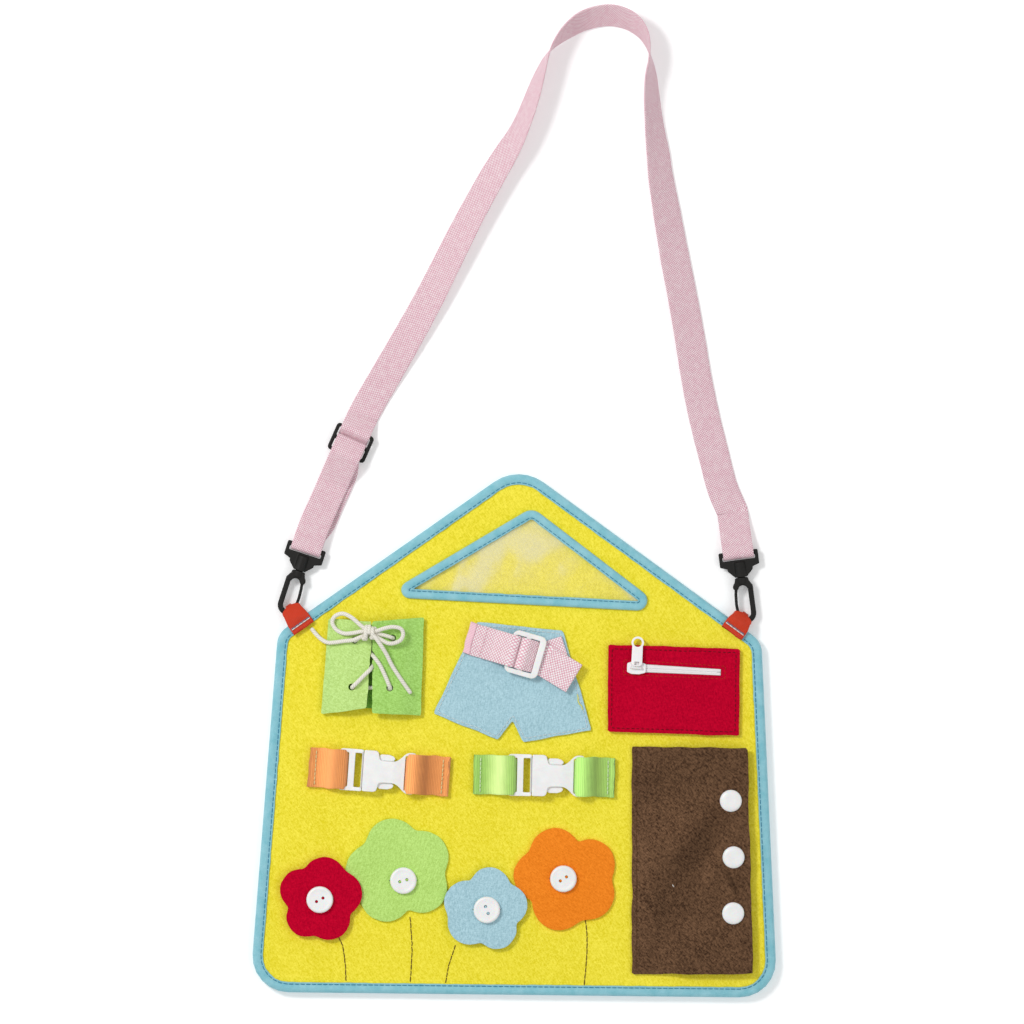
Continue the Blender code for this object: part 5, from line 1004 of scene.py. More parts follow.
SECOND = 8.8
WEB = 1.2
BELT_AT = board_place(0.0194, 0.156, -16.0)
BAR, FRAME = 2.8, 2.4
belt_low = SECOND + WEB / 2
wrap = math.hypot(BAR, FRAME) / 2 + GAP + WEB / 2
frame_z = SECOND + 2 * (WEB + GAP) + FRAME / 2
step_x = (20.6 - BAR) / 2
layer = WEB + GAP


def belt_warp(p):
    """The sewn end and the free ends of the belt curl and wave a little."""
    left = step_up(-step_x - 8.0, -38.0, p.x)
    right = step_up(step_x + 8.0, 36.0, p.x)
    lift = left * (0.75 + 0.7 * noise.noise(Vector((p.x / 9.0, p.y / 6.0, 1.0))))
    lift += right * (0.4 + 0.5 * noise.noise(Vector((p.x / 8.0, p.y / 7.0, 5.0))))
    p = p.copy()
    p.z += max(0.0, lift)
    if p.x < -30.0:
        p.x += 0.7 * noise.noise(Vector((p.y / 5.0, 2.0, p.z / 9.0)))
    p.y += (left * 0.8 + right * 0.3) * noise.noise(Vector((p.x / 11.0, 7.0, 0.0)))
    return p


left_line = belt_line((
    (-38.0, belt_low, 0.0, 1), (-step_x - 12.0, belt_low, 0.0, 1), (-step_x, frame_z, wrap, -1),
    (-step_x - 12.0, belt_low + layer, 0.0, 1), (-step_x - 12.0 - 2 * wrap, belt_low + layer, 0.0, 1)))
shape = strip(left_line, lambda p: BELT_WIDTH, WEB, lambda p: belt_warp(p) + Vector((
    1.2 * step_up(-step_x - 0.5, -step_x + 2.0, p.x), 0.0, 0.0)))
solid("belt_left", shape, BELT_AT, "belt_pink", "board", "pink_webbing", "belt_left_strap")
right_line = even(belt_line((
    (28.0, belt_low, 0.0, 1), (step_x - wrap, belt_low, 0.0, 1), (0.0, frame_z, wrap, 1),
    (step_x, frame_z, wrap, -1), (35.5, belt_low + 2 * layer, 0.0, 1))), 0.9)
bend_from = step_x + BAR / 2 + 1.4
turn_back = min(range(len(right_line)), key=lambda i: right_line[i].x)
rows = []
for i, p in enumerate(right_line):
    turn = 0.0
    if p.x > bend_from:
        turn = math.radians(34.0 if i < turn_back else -15.0) * step_up(bend_from, bend_from + 3.0, p.x)
    reach = max(0.0, p.x - bend_from)
    centre = Vector((p.x - reach + reach * math.cos(turn), reach * math.sin(turn), p.y))
    rows.append((centre, Vector((-math.sin(turn), math.cos(turn), 0.0))))
shape = ribbon(rows, lambda p: BELT_WIDTH, WEB, lambda p: belt_warp(p) - Vector((
    1.0 * step_up(-0.5, -2.5, p.x), 0.0, 0.0)))
belt_right = solid("belt_right", shape, BELT_AT, "belt_pink", None, "pink_webbing", "belt_right_strap")
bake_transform(belt_right)
shape = Shape()
shape.band([(Vector((-36.2, y / 2, belt_low + 0.75)), Vector((1.0, 0.0, 0.0)), 4.4, UP)
            for y in range(-20, 21)], 1.1)
shape.points = [belt_warp(p) for p in shape.points]
solid("belt_hem", shape, BELT_AT, "hem", "board", "pink_webbing")


# ---- zip pocket

POCKET_AT = board_place(0.3046, 0.0872)
POCKET = scaled(((-0.5, 0.52), (0.5, 0.471), (0.493, -0.52), (-0.506, -0.471)), 83.8, 56.0)[::-1]
ZIP_SPOT, ZIP_TURN = Vector((-24.0, 14.2)), -3.0
ZIP_AT = POCKET_AT @ place(*ZIP_SPOT, 0.0, ZIP_TURN)
zip_turn = Matrix.Rotation(math.radians(ZIP_TURN), 2)


def pocket_wave(x, y):
    return 0.12 * ripple(x, y, 12.0, 7.0) + 0.05 * ripple(x, y, 5.0, 1.0)


def along_zip(corners):
    """Points of the zip's own frame in the pocket's."""
    return [zip_turn @ Vector(corner) + ZIP_SPOT for corner in corners]


slot = prism(along_zip(((-6.0, -2.9), (53.8, -2.1), (53.8, 2.1), (-6.0, 2.9))), 5.0, 15.0)
pocket = sheet("pocket", soften(POCKET, 0.8, bow=0.5, grain=1.8, seed=6.0), POCKET_Z, 3.0,
               ("red", "board", "red_felt", "pocket_panel"), pocket_wave, (slot,), POCKET_AT)
laid(POCKET)
seam = even(soften(offset(POCKET, 2.5), 1.0, bow=0.5, grain=2.0, seed=3.0), 1.0, True)
sewn("pocket_stitches", lifted(seam, POCKET_TOP, POCKET_AT, pocket_wave), "thread_red", "board", "red_felt",
     1.9, 1.2, 0.22, closed=True)
around = []
for (x0, y0), (x1, y1) in sides([(-8.0, 4.7), (56.5, 4.0), (56.5, -4.0), (-8.0, -4.7)]):
    around += along_zip([(x0 + (x1 - x0) * i / 12, y0 + (y1 - y0) * i / 12) for i in range(12)])
sewn("zip_stitches", lifted(around, POCKET_TOP, POCKET_AT, pocket_wave), "thread_scarlet", "board", "red_felt",
     1.8, 1.1, 0.18, closed=True)

shape = Shape()
shape.band([(Vector((x, 0.0, 7.35)), ACROSS, 19.4, UP) for x in range(-12, 61)], 0.7)
solid("zip_ribbon", shape, ZIP_AT, "zip_tape", "board", "white_nylon", "zip_tape")
teeth = Shape()
for i in range(52):
    x = -5.2 + i * 1.1
    for side in (-1, 1):
        at = x + side * 0.28
        teeth.tube([Vector((at, side * 1.9, 8.5)), Vector((at, side * 1.7, 9.5)), Vector((at, side * 0.9, 9.75)),
                    Vector((at, side * 0.2, 9.7)), Vector((at, -side * 0.4, 9.4)), Vector((at, -side * 0.45, 8.9))],
                   0.34)
solid("zip_coil_turns", teeth, ZIP_AT, "coil", "board", "white_nylon", "zip_coil")
halves = Shape()
for side in (-1, 1):
    rings = []
    for i in range(60):
        x = -5.5 + i * 1.003
        edge = 2.75 - 0.75 * i / 59
        low = 0.05 * noise.noise(Vector((x / 3.0, side, 0.0)))
        rings.append([Vector((x, side * y, z + low)) for y, z in (
            (0.1, 9.0), (0.1, 9.9), (0.3, 10.2), (0.75, 10.32), (1.15, 10.2), (1.35, 9.95), (1.6, 10.12),
            (1.95, 10.1), (edge - 0.15, 9.75), (edge, 9.2), (edge, 8.3), (edge - 0.4, 8.0), (0.6, 8.0))])
    halves.rings(rings)
solid("zip_half_tapes", halves, ZIP_AT, "zip_tape", "board", "white_nylon")


def plate_outline():
    """The pull: a plate with near-parallel sides that runs into a ring."""
    outline = []
    for i in range(9):
        angle = math.pi + math.pi * i / 8
        outline.append((3.45 * math.cos(angle), 3.3 + 2.3 * math.sin(angle)))
    reach = math.asin(3.35 / 3.95)
    for i in range(37):
        angle = -math.pi / 2 + reach + (math.tau - 2 * reach) * i / 36
        outline.append((3.95 * math.cos(angle), 16.2 + 3.95 * math.sin(angle)))
    return outline


ZIP_PULL_AT = ZIP_AT @ Matrix.Translation((0.0, 0.0, 13.7)) @ Matrix.Rotation(math.radians(-9.0), 4, "X")
pull_holes = (post(2.7, 0.0, 16.2, -4.0, 4.0, 40), bar(-1.5, 1.5, 1.75, 4.0, -4.0, 4.0))
pull = cloth("zip_pull_plate", plate_outline(), 0.0, 1.25, 3.0, None, pull_holes, 0.35, ZIP_PULL_AT, 0.0)
piece("zip_pull_plate", pull, "coil", "zip_pull", "white_nylon", "zip_pull", sharp=50.0)


# ---- side-release buckles: moulded bodies and their webbing tabs

def round_all(obj, voxel, rounds=7):
    """A moulded finish: every edge is rounded, as it leaves the mould; voxel is its grid, in mm."""
    fine = obj.modifiers.new("Remesh", "REMESH")
    fine.mode = "VOXEL"
    fine.voxel_size = voxel * MM
    fine.use_smooth_shade = True
    soft = obj.modifiers.new("Smooth", "SMOOTH")
    soft.factor = 0.5
    soft.iterations = rounds
    fewer = obj.modifiers.new("Decimate", "DECIMATE")
    fewer.ratio = 0.4


def moulded(name, half_widths, thickness, holes, grow, matrix):
    """A body from its half widths along x, cut through, grown in thickness along x and rounded all over."""
    outline = [(x, -half) for x, half in half_widths] + [(x, half) for x, half in half_widths[::-1]]
    mesh = cloth(name, outline, 0.0, thickness, 1.6, None, holes, 0.02, None, 0.0)
    for vert in mesh.vertices:
        vert.co.z *= grow(vert.co.x / MM)
    obj = linked(name, mesh)
    round_all(obj, 0.25, 9)
    return moved(applied(obj), matrix)


CLIP_HALF = (
    (-16.0, 10.4), (-15.85, 11.5), (-15.3, 12.4), (-14.4, 13.1), (-13.2, 13.3), (-1.6, 13.25), (-0.8, 13.1),
    (-0.36, 12.7), (-0.3, 10.8), (0.9, 10.8), (0.92, 5.2), (13.2, 2.75), (14.0, 2.0))
SOCKET_HALF = (
    (0.0, 12.7), (0.4, 13.0), (1.2, 13.1), (6.8, 13.1), (8.0, 12.9), (8.9, 12.2), (9.45, 11.0), (9.7, 9.4),
    (10.1, 8.0), (11.0, 7.2), (12.5, 6.95), (18.5, 6.9), (20.3, 7.15), (22.0, 8.0), (23.8, 9.5), (25.4, 11.2),
    (26.8, 12.4), (28.4, 13.05), (30.5, 13.2), (32.0, 13.0), (32.8, 12.4), (33.2, 11.4))

CLIP_LENGTH, SOCKET_LENGTH = 16.0, 33.2
BUCKLES = (("orange", (-0.2617, -0.0671), -4.0), ("green", (0.0599, -0.0752), -1.3))
for colour, shares, turn in BUCKLES:
    reach_z = ON_FRONT + WEB + GAP + max(math.hypot(3.8, 3.2), math.hypot(3.6, 3.4)) / 2
    axis = board_place(*shares, turn) @ place(-(SOCKET_LENGTH - CLIP_LENGTH) / 2, 0.0, reach_z)
    slots = (bar(-12.6, -9.6, -10.9, 10.9, -9.0, 9.0), bar(-5.6, -1.2, -10.9, 10.9, -9.0, 9.0))
    piece(f"{colour}_clip_body", moulded(f"{colour}_clip_body", CLIP_HALF, 3.6, slots, lambda x: 1.0 + (
        0.9 * step_up(-6.5, -1.2, x) if x < -0.33 else 0.0), axis), "white", f"{colour}_clip", "white_plastic",
          f"{colour}_clip", sharp=0)
    hollows = (bar(26.4, 30.0, -10.9, 10.9, -9.0, 9.0), bar(-1.0, 21.2, -11.4, 11.4, -2.15, 2.15))
    piece(f"{colour}_socket_body", moulded(f"{colour}_socket_body", SOCKET_HALF, 7.4, hollows, lambda x: (
        1.0 - 0.49 * step_up(18.0, 27.0, x)), axis), "white", "board", "white_plastic", f"{colour}_socket", sharp=0)
    for name, side, bar_at, thick, long in (("left", -1, CLIP_LENGTH - 1.7, 3.6, 3.4),
                                           ("right", 1, SOCKET_LENGTH - 1.6, 3.8, 3.2)):
        drop = FRONT_TOP - reach_z
        low = drop + GAP + WEB / 2
        around_bar = math.hypot(thick, long) / 2 + GAP + WEB / 2
        reach = bar_at + 25.6 - long - {"orange_left": 2.4, "green_right": 2.2}.get(f"{colour}_{name}", 0.0)
        rise = bar_at + 9.0
        line = belt_line((
            (-reach, low, 0.0, 1), (-rise, low, 0.0, 1), (-bar_at, 0.0, around_bar, -1),
            (-rise, low + WEB + GAP, 0.0, 1), (-reach, low + WEB + GAP, 0.0, 1)))

        def width_at(p):
            """Full width over the bar; gathered only where it goes down through the slot."""
            inner = step_up(2.6, 1.6, p.z) * step_up(bar_at + 1.0, bar_at + 0.2, -p.x)
            below = step_up(-1.6, -2.6, p.z) * step_up(bar_at + 6.0, bar_at + 3.0, -p.x)
            return RIBBON_WIDTH - RIBBON_GATHER * max(inner, below)

        def wavy(p, seed=side + len(colour)):
            """The sewn end swells between its stitches, and its cut edge is frayed."""
            q = p.copy()
            far = step_up(-rise - 3.0, -reach, p.x)
            q.z += far * max(0.0, 0.35 + 0.8 * noise.noise(Vector((p.y / 4.5, seed, p.x / 12.0))))
            if p.x < -reach + 1.6:
                q.x -= 0.5 + 1.0 * noise.noise(Vector((p.y / 2.6, seed * 3.0, p.z / 4.0)))
            q.y += 0.6 * noise.noise(Vector((p.x / 6.0, seed, 3.0))) + 0.3 * side
            q.x += (0.9 if side > 0 else 0.4) * step_up(-bar_at + 0.5, -bar_at + 2.5, p.x)
            return q

        turned_axis = axis if side < 0 else axis @ Matrix.Rotation(math.pi, 4, "Z")
        tab = solid(f"{colour}_{name}_ribbon", strip(line, width_at, WEB, wavy), turned_axis, f"{colour}_{name}",
                    "board" if side > 0 else None, f"{colour}_webbing", f"{colour}_{name}_tab")
        if side < 0:
            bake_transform(tab)
        seam_x = -reach + 3.6
        top = low + WEB + GAP + WEB / 2
        row = [turned_axis @ wavy(Vector((seam_x, y / 2, top + 0.28))) for y in range(-22, 23)]
        sewn(f"{colour}_{name}_stitches", row, "thread_cream" if colour == "orange" else "thread_lime", "board",
             f"{colour}_webbing", 1.8, 0.8, 0.4)


# ---- door

DOOR_W, DOOR_H, DOOR_RISE = 75.0, 144.8, 4.2
HINGE = (BOARD * 0.3384 - DOOR_W / 2, BOARD * -0.2371)
hinge_z = ON_FRONT + 0.75
DOOR_AT = place(*HINGE)
DOOR = scaled(((-0.008, 0.5), (0.97, 0.495), (1.02, -0.497), (-0.008, -0.5)), DOOR_W, DOOR_H)[::-1]
SNAPS = scaled(((0.829, 0.263), (0.852, 0.015), (0.849, -0.231)), DOOR_W, DOOR_H)


def fold(x, y, x0, y0, x1, y1, width, height):
    """A crease along a line that fades at its ends."""
    dx, dy = x1 - x0, y1 - y0
    length = math.hypot(dx, dy)
    t = ((x - x0) * dx + (y - y0) * dy) / length
    across = (-(x - x0) * dy + (y - y0) * dx) / length + 1.5 * noise.noise(Vector((t / 17.0, x0, 0.0)))
    return height * math.exp(-(across / width) ** 2) * step_up(0.0, 14.0, t) * step_up(0.0, 14.0, length - t)


def door_rise(x, y):
    lift = DOOR_RISE * step_up(0.16, 0.5, x / DOOR_W)
    free = step_up(3.0, 16.0, x)
    for sx, sy in SNAPS:
        free *= 1.0 - math.exp(-(((x - sx) ** 2 + (y - sy) ** 2) / 95.0) ** 2)
    lift += free * (fold(x, y, 66.0, 46.0, 20.0, -24.0, 5.5, -2.6) + fold(x, y, 46.0, 50.0, 2.0, -16.0, 6.0, 1.0)
                    + fold(x, y, 68.0, 20.0, 36.0, -40.0, 6.0, 1.2) + fold(x, y, 60.0, 8.0, 65.0, -38.0, 2.0, 1.7)
                    + 0.5 * ripple(x, y, 26.0, 4.0) + 0.15 * ripple(x, y, 8.0, 9.0))
    return lift


holes = [post(1.8, sx, sy, *THROUGH) for sx, sy in SNAPS]
door = sheet("door", soften(DOOR, 1.0, bow=0.8, grain=2.0, seed=12.0), hinge_z, 3.4,
             ("brown", "door", "brown_felt", "door_panel"), door_rise, holes, DOOR_AT)
laid(DOOR)
seam = [DOOR_AT @ Vector((2.4 + 0.4 * noise.noise(Vector((y / 9.0, 0.0, 0.0))), y, hinge_z + 0.85))
        for y in range(-69, 70)]
sewn("door_stitches", seam, "thread_brown", "door", "brown_felt", 2.8, 0.9, 0.2)

lint = Shape()
lint_z = hinge_z + door_rise(25.5, -16.0) + 0.8
lint.tube([DOOR_AT @ Vector((25.1 + 0.35 * t, -15.4 - 0.5 * t, lint_z + 0.2 * (t % 2))) for t in range(4)], 0.3)
solid("door_lint", lint, None, "thread_white", "door", "brown_felt")

CAP_PROFILE = (
    (0.0, 1.62), (1.2, 1.66), (2.6, 1.78), (3.6, 1.80), (4.6, 1.70), (5.6, 1.46), (6.4, 1.1), (6.85, 0.7),
    (7.0, 0.4), (6.95, 0.15), (6.75, 0.0), (5.0, 0.02), (1.5, 0.02))
under = hinge_z + DOOR_RISE - 0.75
cap_low = under + 1.5 + GAP
for i, (sx, sy) in enumerate(SNAPS, start=1):
    at = (HINGE[0] + sx, HINGE[1] + sy)
    shape = Shape()
    shape.lathe([(r, cap_low + z) for r, z in CAP_PROFILE] + [(1.5, under), (1.3, under - 0.25), (0.0, under - 0.3)],
                at, 64)
    solid(f"cap_{i}", shape, None, "white", "door", "white_plastic", f"door_cap_{i}", sharp=50.0)


# ---- flowers

HOLE_OUT = 2.33        # from a button's middle to each of its two holes
BUTTON_PROFILE = (
    (0.0, 0.32), (4.8, 0.32), (6.0, 0.26), (6.6, 0.06), (7.0, 0.0), (7.6, 0.1), (8.1, 0.45), (8.45, 1.1), (8.5, 1.6),
    (8.3, 2.3), (7.6, 2.8))
FLOWERS = (
    ("green", "flower_green", (-0.2111, -0.2754), (-2.9, 5.8), 34.0, 14.0, 0, 16.0),
    ("orange", "orange", (0.0937, -0.2719), (1.8, 0.1), 33.5, 18.0, 0, 33.7),
    ("red", "red", (-0.3701, -0.3114), (0.4, 0.2), 27.0, -7.0, 1, 28.7),
    ("blue", "blue", (-0.0521, -0.3308), (-0.9, 0.2), 27.0, -8.0, 1, 111.0))


ROUNDNESS = 14         # the higher it is, the sharper the notches between petals


def petals(reach, turn, seed):
    """Five round lobes run together, each cut by hand a little differently."""
    outline = []
    steps = 150
    for i in range(steps):
        angle = math.tau * i / steps
        best = 0.0
        for k in range(5):
            lobe = math.radians(90.0 + turn + 72.0 * k) + 0.10 * math.sin(seed + k * 2.4)
            size = 0.485 * (1.0 + 0.05 * math.sin(seed * 2.0 + k * 1.7))
            off = math.cos(angle - lobe) * (1 - size)
            inner = size ** 2 - ((1 - size) * math.sin(angle - lobe)) ** 2
            if inner > 0 and off + math.sqrt(inner) > 0:
                best += (off + math.sqrt(inner)) ** ROUNDNESS
        radius = min(reach * best ** (1 / ROUNDNESS), reach)
        radius += 0.3 * noise.noise(Vector((math.cos(angle) * 4.0, math.sin(angle) * 4.0, seed)))
        outline.append((radius * math.cos(angle), radius * math.sin(angle)))
    return outline


for number, (colour, wool, shares, centre, reach, turn, level, hole_turn) in enumerate(FLOWERS):
    at = board_place(*shares)
    bottom = (SECOND + GAP) if level else ON_FRONT
    outline = [(x + centre[0], y + centre[1]) for x, y in petals(reach, turn, number * 1.9)]
    cut = [post(2.2, 0.0, 0.0, *THROUGH, 20), bar(-9.0, 9.0, -0.25, 0.25, *THROUGH)]
    sheet(f"{colour}_petals", outline, bottom + 0.76, 4.0,
          (wool, f"{colour}_flower", f"{colour}_felt", f"{colour}_flower"),
          lambda x, y: 0.09 * ripple(x, y, 11.0, number), cut, at, 1.42)
    low = bottom + 1.5 + GAP
    top = low + 3.0
    shape = Shape()
    shape.lathe([(r, top - down) for r, down in BUTTON_PROFILE]
                + [(6.8, low), (1.8, low), (1.8, ON_FRONT + 0.02), (0.0, ON_FRONT + 0.02)], (0.0, 0.0), 72)
    hole_way = math.cos(math.radians(hole_turn)), math.sin(math.radians(hole_turn))
    cut = [post(1.0, side * HOLE_OUT * hole_way[0], side * HOLE_OUT * hole_way[1], top - 2.2, top + 2.0, 20)
           for side in (-1, 1)]
    disc = carved(linked(f"{colour}_disc", to_mesh(f"{colour}_disc", shape)), cut)
    piece(f"{colour}_disc", moved(disc, at), "white", "board", "white_plastic", f"{colour}_button", sharp=42.0)
    shape = Shape()
    shape.tube([at @ Vector((t * HOLE_OUT * hole_way[0], t * HOLE_OUT * hole_way[1], top - 1.55))
                for t in (-1.3, -1.0, 0.0, 1.0, 1.3)], 0.8, 8)
    solid(f"{colour}_button_thread", shape, None, wool, "board", f"{colour}_felt")


STEMS = (
    ("red", ((-112.128, -127.232), (-109.248, -134.016), (-107.648, -144.512), (-107.008, -156.032))),
    ("green", ((-66.368, -115.072), (-65.088, -132.352), (-65.408, -144.512), (-66.048, -156.672))),
    ("blue", ((-37.248, -132.992), (-40.768, -143.232), (-42.368, -149.632), (-43.648, -157.312))),
    ("orange", ((45.312, -116.352), (46.4, -129.152), (45.952, -143.232), (44.672, -158.592))))
for name, spots in STEMS:
    path = smooth([(x, y, FRONT_TOP - 0.1) for x, y in spots], 0.6)
    sewn(f"{name}_stem", path, "thread_brown", "board", "yellow_felt", 3.4, 0.15, 0.3, 0.35, 0.3)


# ---- hook tabs

WIRE_REACH = 4.9
WIRE_Z = 4.3
TAB_WEB = 0.8
STRAP_HEADINGS = (72.0, 66.2)      # at the left hook, and where the strap lies straight
RINGS = {}
for name, corner, side, out, along, hook_turn in (("left", 4, 1, 11.05, 15.68, STRAP_HEADINGS[0]),
                                                  ("right", 2, -1, 8.85, 18.73, 97.5)):
    eave = Vector(board_corners[corner])
    roof = (Vector(board_corners[3]) - eave).normalized()
    outward = Vector((-roof.y, roof.x)) * side
    RINGS[name] = (eave + outward * out + roof * along, hook_turn, math.degrees(math.atan2(outward.y, outward.x)),
                   out - WIRE_REACH + 6.6)
for name, (ring, _, heading, reach) in RINGS.items():
    angle = math.radians(heading)
    tab_at = place(ring[0] - WIRE_REACH * math.cos(angle), ring[1] - WIRE_REACH * math.sin(angle), 0.0,
                   heading) @ place(-reach, 0.0)
    tab_layer = TAB_WEB + GAP
    low = 7.8 + GAP + TAB_WEB / 2
    around_wire = math.hypot(3.4, 3.4) / 2 + GAP + TAB_WEB / 2
    edge_z = low - 1.3
    line = belt_line((
        (0.0, low, 0.0, 1), (6.4, edge_z, 1.3, 1), (reach, WIRE_Z, around_wire, -1),
        (reach + 1.6, WIRE_Z, around_wire, -1),
        (6.4, edge_z, 1.3 + tab_layer, -1), (0.0, low + tab_layer, 0.0, 1)))

    def tab_width(p):
        width = 15.4 - 2.4 * max(0.0, min(1.0, (p.x - 6.4) / (reach - 6.4)))
        if p.x > reach + 1.6:
            width = 4.0 + (width - 4.0) * max(0.0, min(1.0, (abs(p.z - WIRE_Z) - 2.0) / (around_wire - 2.0)))
        return width

    def tab_warp(p, seed=len(name)):
        q = p.copy()
        if p.x < 1.2:
            q.x -= 0.3 + 0.8 * noise.noise(Vector((p.y / 2.4, seed, p.z / 3.0)))
        gather = step_up(4.0, 9.0, p.x) * (1.0 - step_up(9.0, 12.5, p.x))
        q.z += gather * 0.25 * math.sin(p.y * 1.5 + seed)
        if p.z > low + tab_layer / 2 + (WIRE_Z - low) * (p.x - 6.4) / (reach - 6.4):
            q.z += 1.1 * hill(p.x, 9.0, 3.4) * max(0.0, 1.0 - (p.y / 7.0) ** 2)
        return q

    solid(f"{name}_ribbon", strip(line, tab_width, 0.75, tab_warp), tab_at, "red_ribbon", "board", "red_ribbon",
          f"{name}_hook_tab")
    top = low + tab_layer + 0.42
    for kind, seam_x, thread, length, radius in (("stitches", 3.9, "thread_blue", 1.9, 0.2),
                                                 ("white", 3.1, "thread_white", 2.1, 0.36)):
        row = [tab_at @ Vector((seam_x, y / 2, top + 0.2)) for y in range(-14, 15)]
        sewn(f"{name}_tab_{kind}", row, thread, "board", "red_ribbon", length, 0.5, radius)


# ---- shoulder strap

STRAP_WIDTH = 20.0
GROUND = 0.3 + WEB / 2
LADDER, LADDER_STEP = 72.6, 8.0    # the slider's middle bar along the strap, and its bars' spacing
FLAT_FROM = 19.5                   # where the webbing is down again beyond a hook's bar
RING_REACH = 38.2


def hook_place(name):
    ring, heading = RINGS[name][:2]
    angle = math.radians(heading)
    return place(ring[0] + RING_REACH * math.cos(angle), ring[1] + RING_REACH * math.sin(angle), 0.0, heading)


left_bar, right_bar = hook_place("left"), hook_place("right")


def strap_place(distance):
    steps = 40
    x, y = left_bar.translation.x, left_bar.translation.y
    first, settled = STRAP_HEADINGS
    for i in range(steps):
        middle = distance * (i + 0.5) / steps
        share = max(0.0, min(1.0, (middle - 4.0) / 16.0))
        heading = math.radians(first + (settled - first) * share)
        x += math.cos(heading) * distance / steps
        y += math.sin(heading) * distance / steps
    return x, y, math.radians(first) if distance <= 0.0 else heading


ladder_wrap = math.hypot(2.2, 2.2) / 2 + GAP / 2 + WEB / 2
strap_layer = WEB + GAP
ladder_z = ladder_wrap + strap_layer + GROUND
hook_wrap = math.hypot(3.0, 3.0) / 2 + GAP / 2 + WEB / 2
near, far, sewn_at = LADDER - LADDER_STEP, LADDER + LADDER_STEP, LADDER - 22.0
left_line = even(belt_line((
    (sewn_at, GROUND + strap_layer, 0.0, 1), (near, ladder_z, ladder_wrap + strap_layer, 1),
    (LADDER, ladder_z, ladder_wrap, -1), (near, ladder_z, ladder_wrap + 2 * strap_layer, -1),
    (sewn_at - strap_layer, GROUND + 2 * strap_layer, 0.0, 1),
    (sewn_at - 4 * strap_layer, GROUND + strap_layer, 0.0, 1),
    (0.0, WIRE_Z, hook_wrap, -1), (FLAT_FROM, GROUND, 0.0, 1), (sewn_at + strap_layer, GROUND, 0.0, 1),
    (near, ladder_z, ladder_wrap, 1), (LADDER, ladder_z, ladder_wrap + strap_layer, -1),
    (far, ladder_z, ladder_wrap, 1), (far + FLAT_FROM - LADDER_STEP, GROUND, 0.0, 1))), 0.8)
right_line = even(belt_line((
    (FLAT_FROM + 5 * strap_layer, GROUND, 0.0, 1), (FLAT_FROM, GROUND + strap_layer, 0.0, 1),
    (0.0, WIRE_Z, hook_wrap, -1), (FLAT_FROM - 5 * strap_layer, GROUND, 0.0, 1), (FLAT_FROM, GROUND, 0.0, 1))), 0.8)
STRAP_ROUTE = (
    (-90.2, 215.2, 0.0), (-82.7, 228.0, 2.0), (-68.0, 253.4, 10.0), (-53.8, 279.2, 17.0), (-41.1, 304.6, 24.0),
    (-28.0, 330.4, 29.0), (-13.9, 356.0, 33.0), (-6.2, 368.8, 38.0), (1.2, 381.5, 49.0), (6.9, 394.2, 57.0),
    (11.7, 407.2, 62.0), (16.0, 420.0, 70.0), (21.0, 432.8, 84.0), (27.0, 441.6, 100.0), (35.0, 449.2, 116.0),
    (46.0, 455.8, 127.0), (60.5, 458.6, 130.0), (73.0, 455.4, 125.0), (81.2, 448.4, 112.0), (85.0, 440.0, 97.0),
    (86.6, 430.6, 84.0), (87.0, 419.8, 68.0), (87.6, 407.0, 60.0), (88.6, 394.2, 55.0), (90.0, 381.4, 48.0),
    (91.8, 368.8, 41.0), (93.2, 356.0, 36.0), (97.6, 330.4, 26.0), (102.2, 304.8, 19.0), (107.2, 279.2, 16.0),
    (111.8, 253.6, 12.0), (116.0, 228.0, 7.0), (121.2, 202.6, 2.0), (127.6, 177.0, 0.0), (132.6, 158.0, 0.0))


def strap_row(p, skew=0.0):
    """The lower layer of the doubled strap lies a little to one side."""
    x, y, heading = strap_place(p.x)
    cross = Vector((math.sin(heading), -math.cos(heading), 0.0))
    begun, ended = step_up(8.0, 20.0, p.x), step_up(near - 12.0, near - 1.0, p.x)
    return Vector((x, y, p.y)) + cross * skew * begun * (1.0 - ended), cross


turn_at = min(range(len(left_line)), key=lambda i: left_line[i].x)
back_rows = [strap_row(p) for p in left_line[:turn_at + 1]]
main_rows = [strap_row(p, 2.6) for p in left_line[turn_at:]]
last = main_rows[-1][0]
first_right = right_bar @ Vector((right_line[0].x, 0.0, right_line[0].y))
spots = [(last.x, last.y, 0.0)] + [(x, y, math.radians(lean)) for x, y, lean in STRAP_ROUTE]
free = smooth(spots + [(first_right.x, first_right.y, 0.0)], 1.5)
for before, here, after in zip(free, free[1:], free[2:]):
    lean = here.z
    along = Vector((after.x - before.x, after.y - before.y, 0.0)).normalized()
    inner = Vector((along.y, -along.x, 0.0))
    cross = inner * math.cos(lean) + UP * math.sin(lean)
    main_rows.append((Vector((here.x, here.y, GROUND + STRAP_WIDTH / 2 * math.sin(lean))), cross))
right_cross = right_bar.to_3x3() @ ACROSS
main_rows += [(right_bar @ Vector((p.x, 0.0, p.y)), right_cross) for p in right_line]


def strap_shape(rows):
    return ribbon(rows, lambda p: STRAP_WIDTH - 0.4 + 0.25 * noise.noise(p / 6.0), WEB - 0.05)


strap = solid("strap", strap_shape(main_rows), None, "pink", "board", "pink_webbing", "shoulder_strap")
strap_back = solid("strap_back", strap_shape(back_rows), None, "pink", "board", "pink_webbing")
corded([r[0] for r in main_rows])

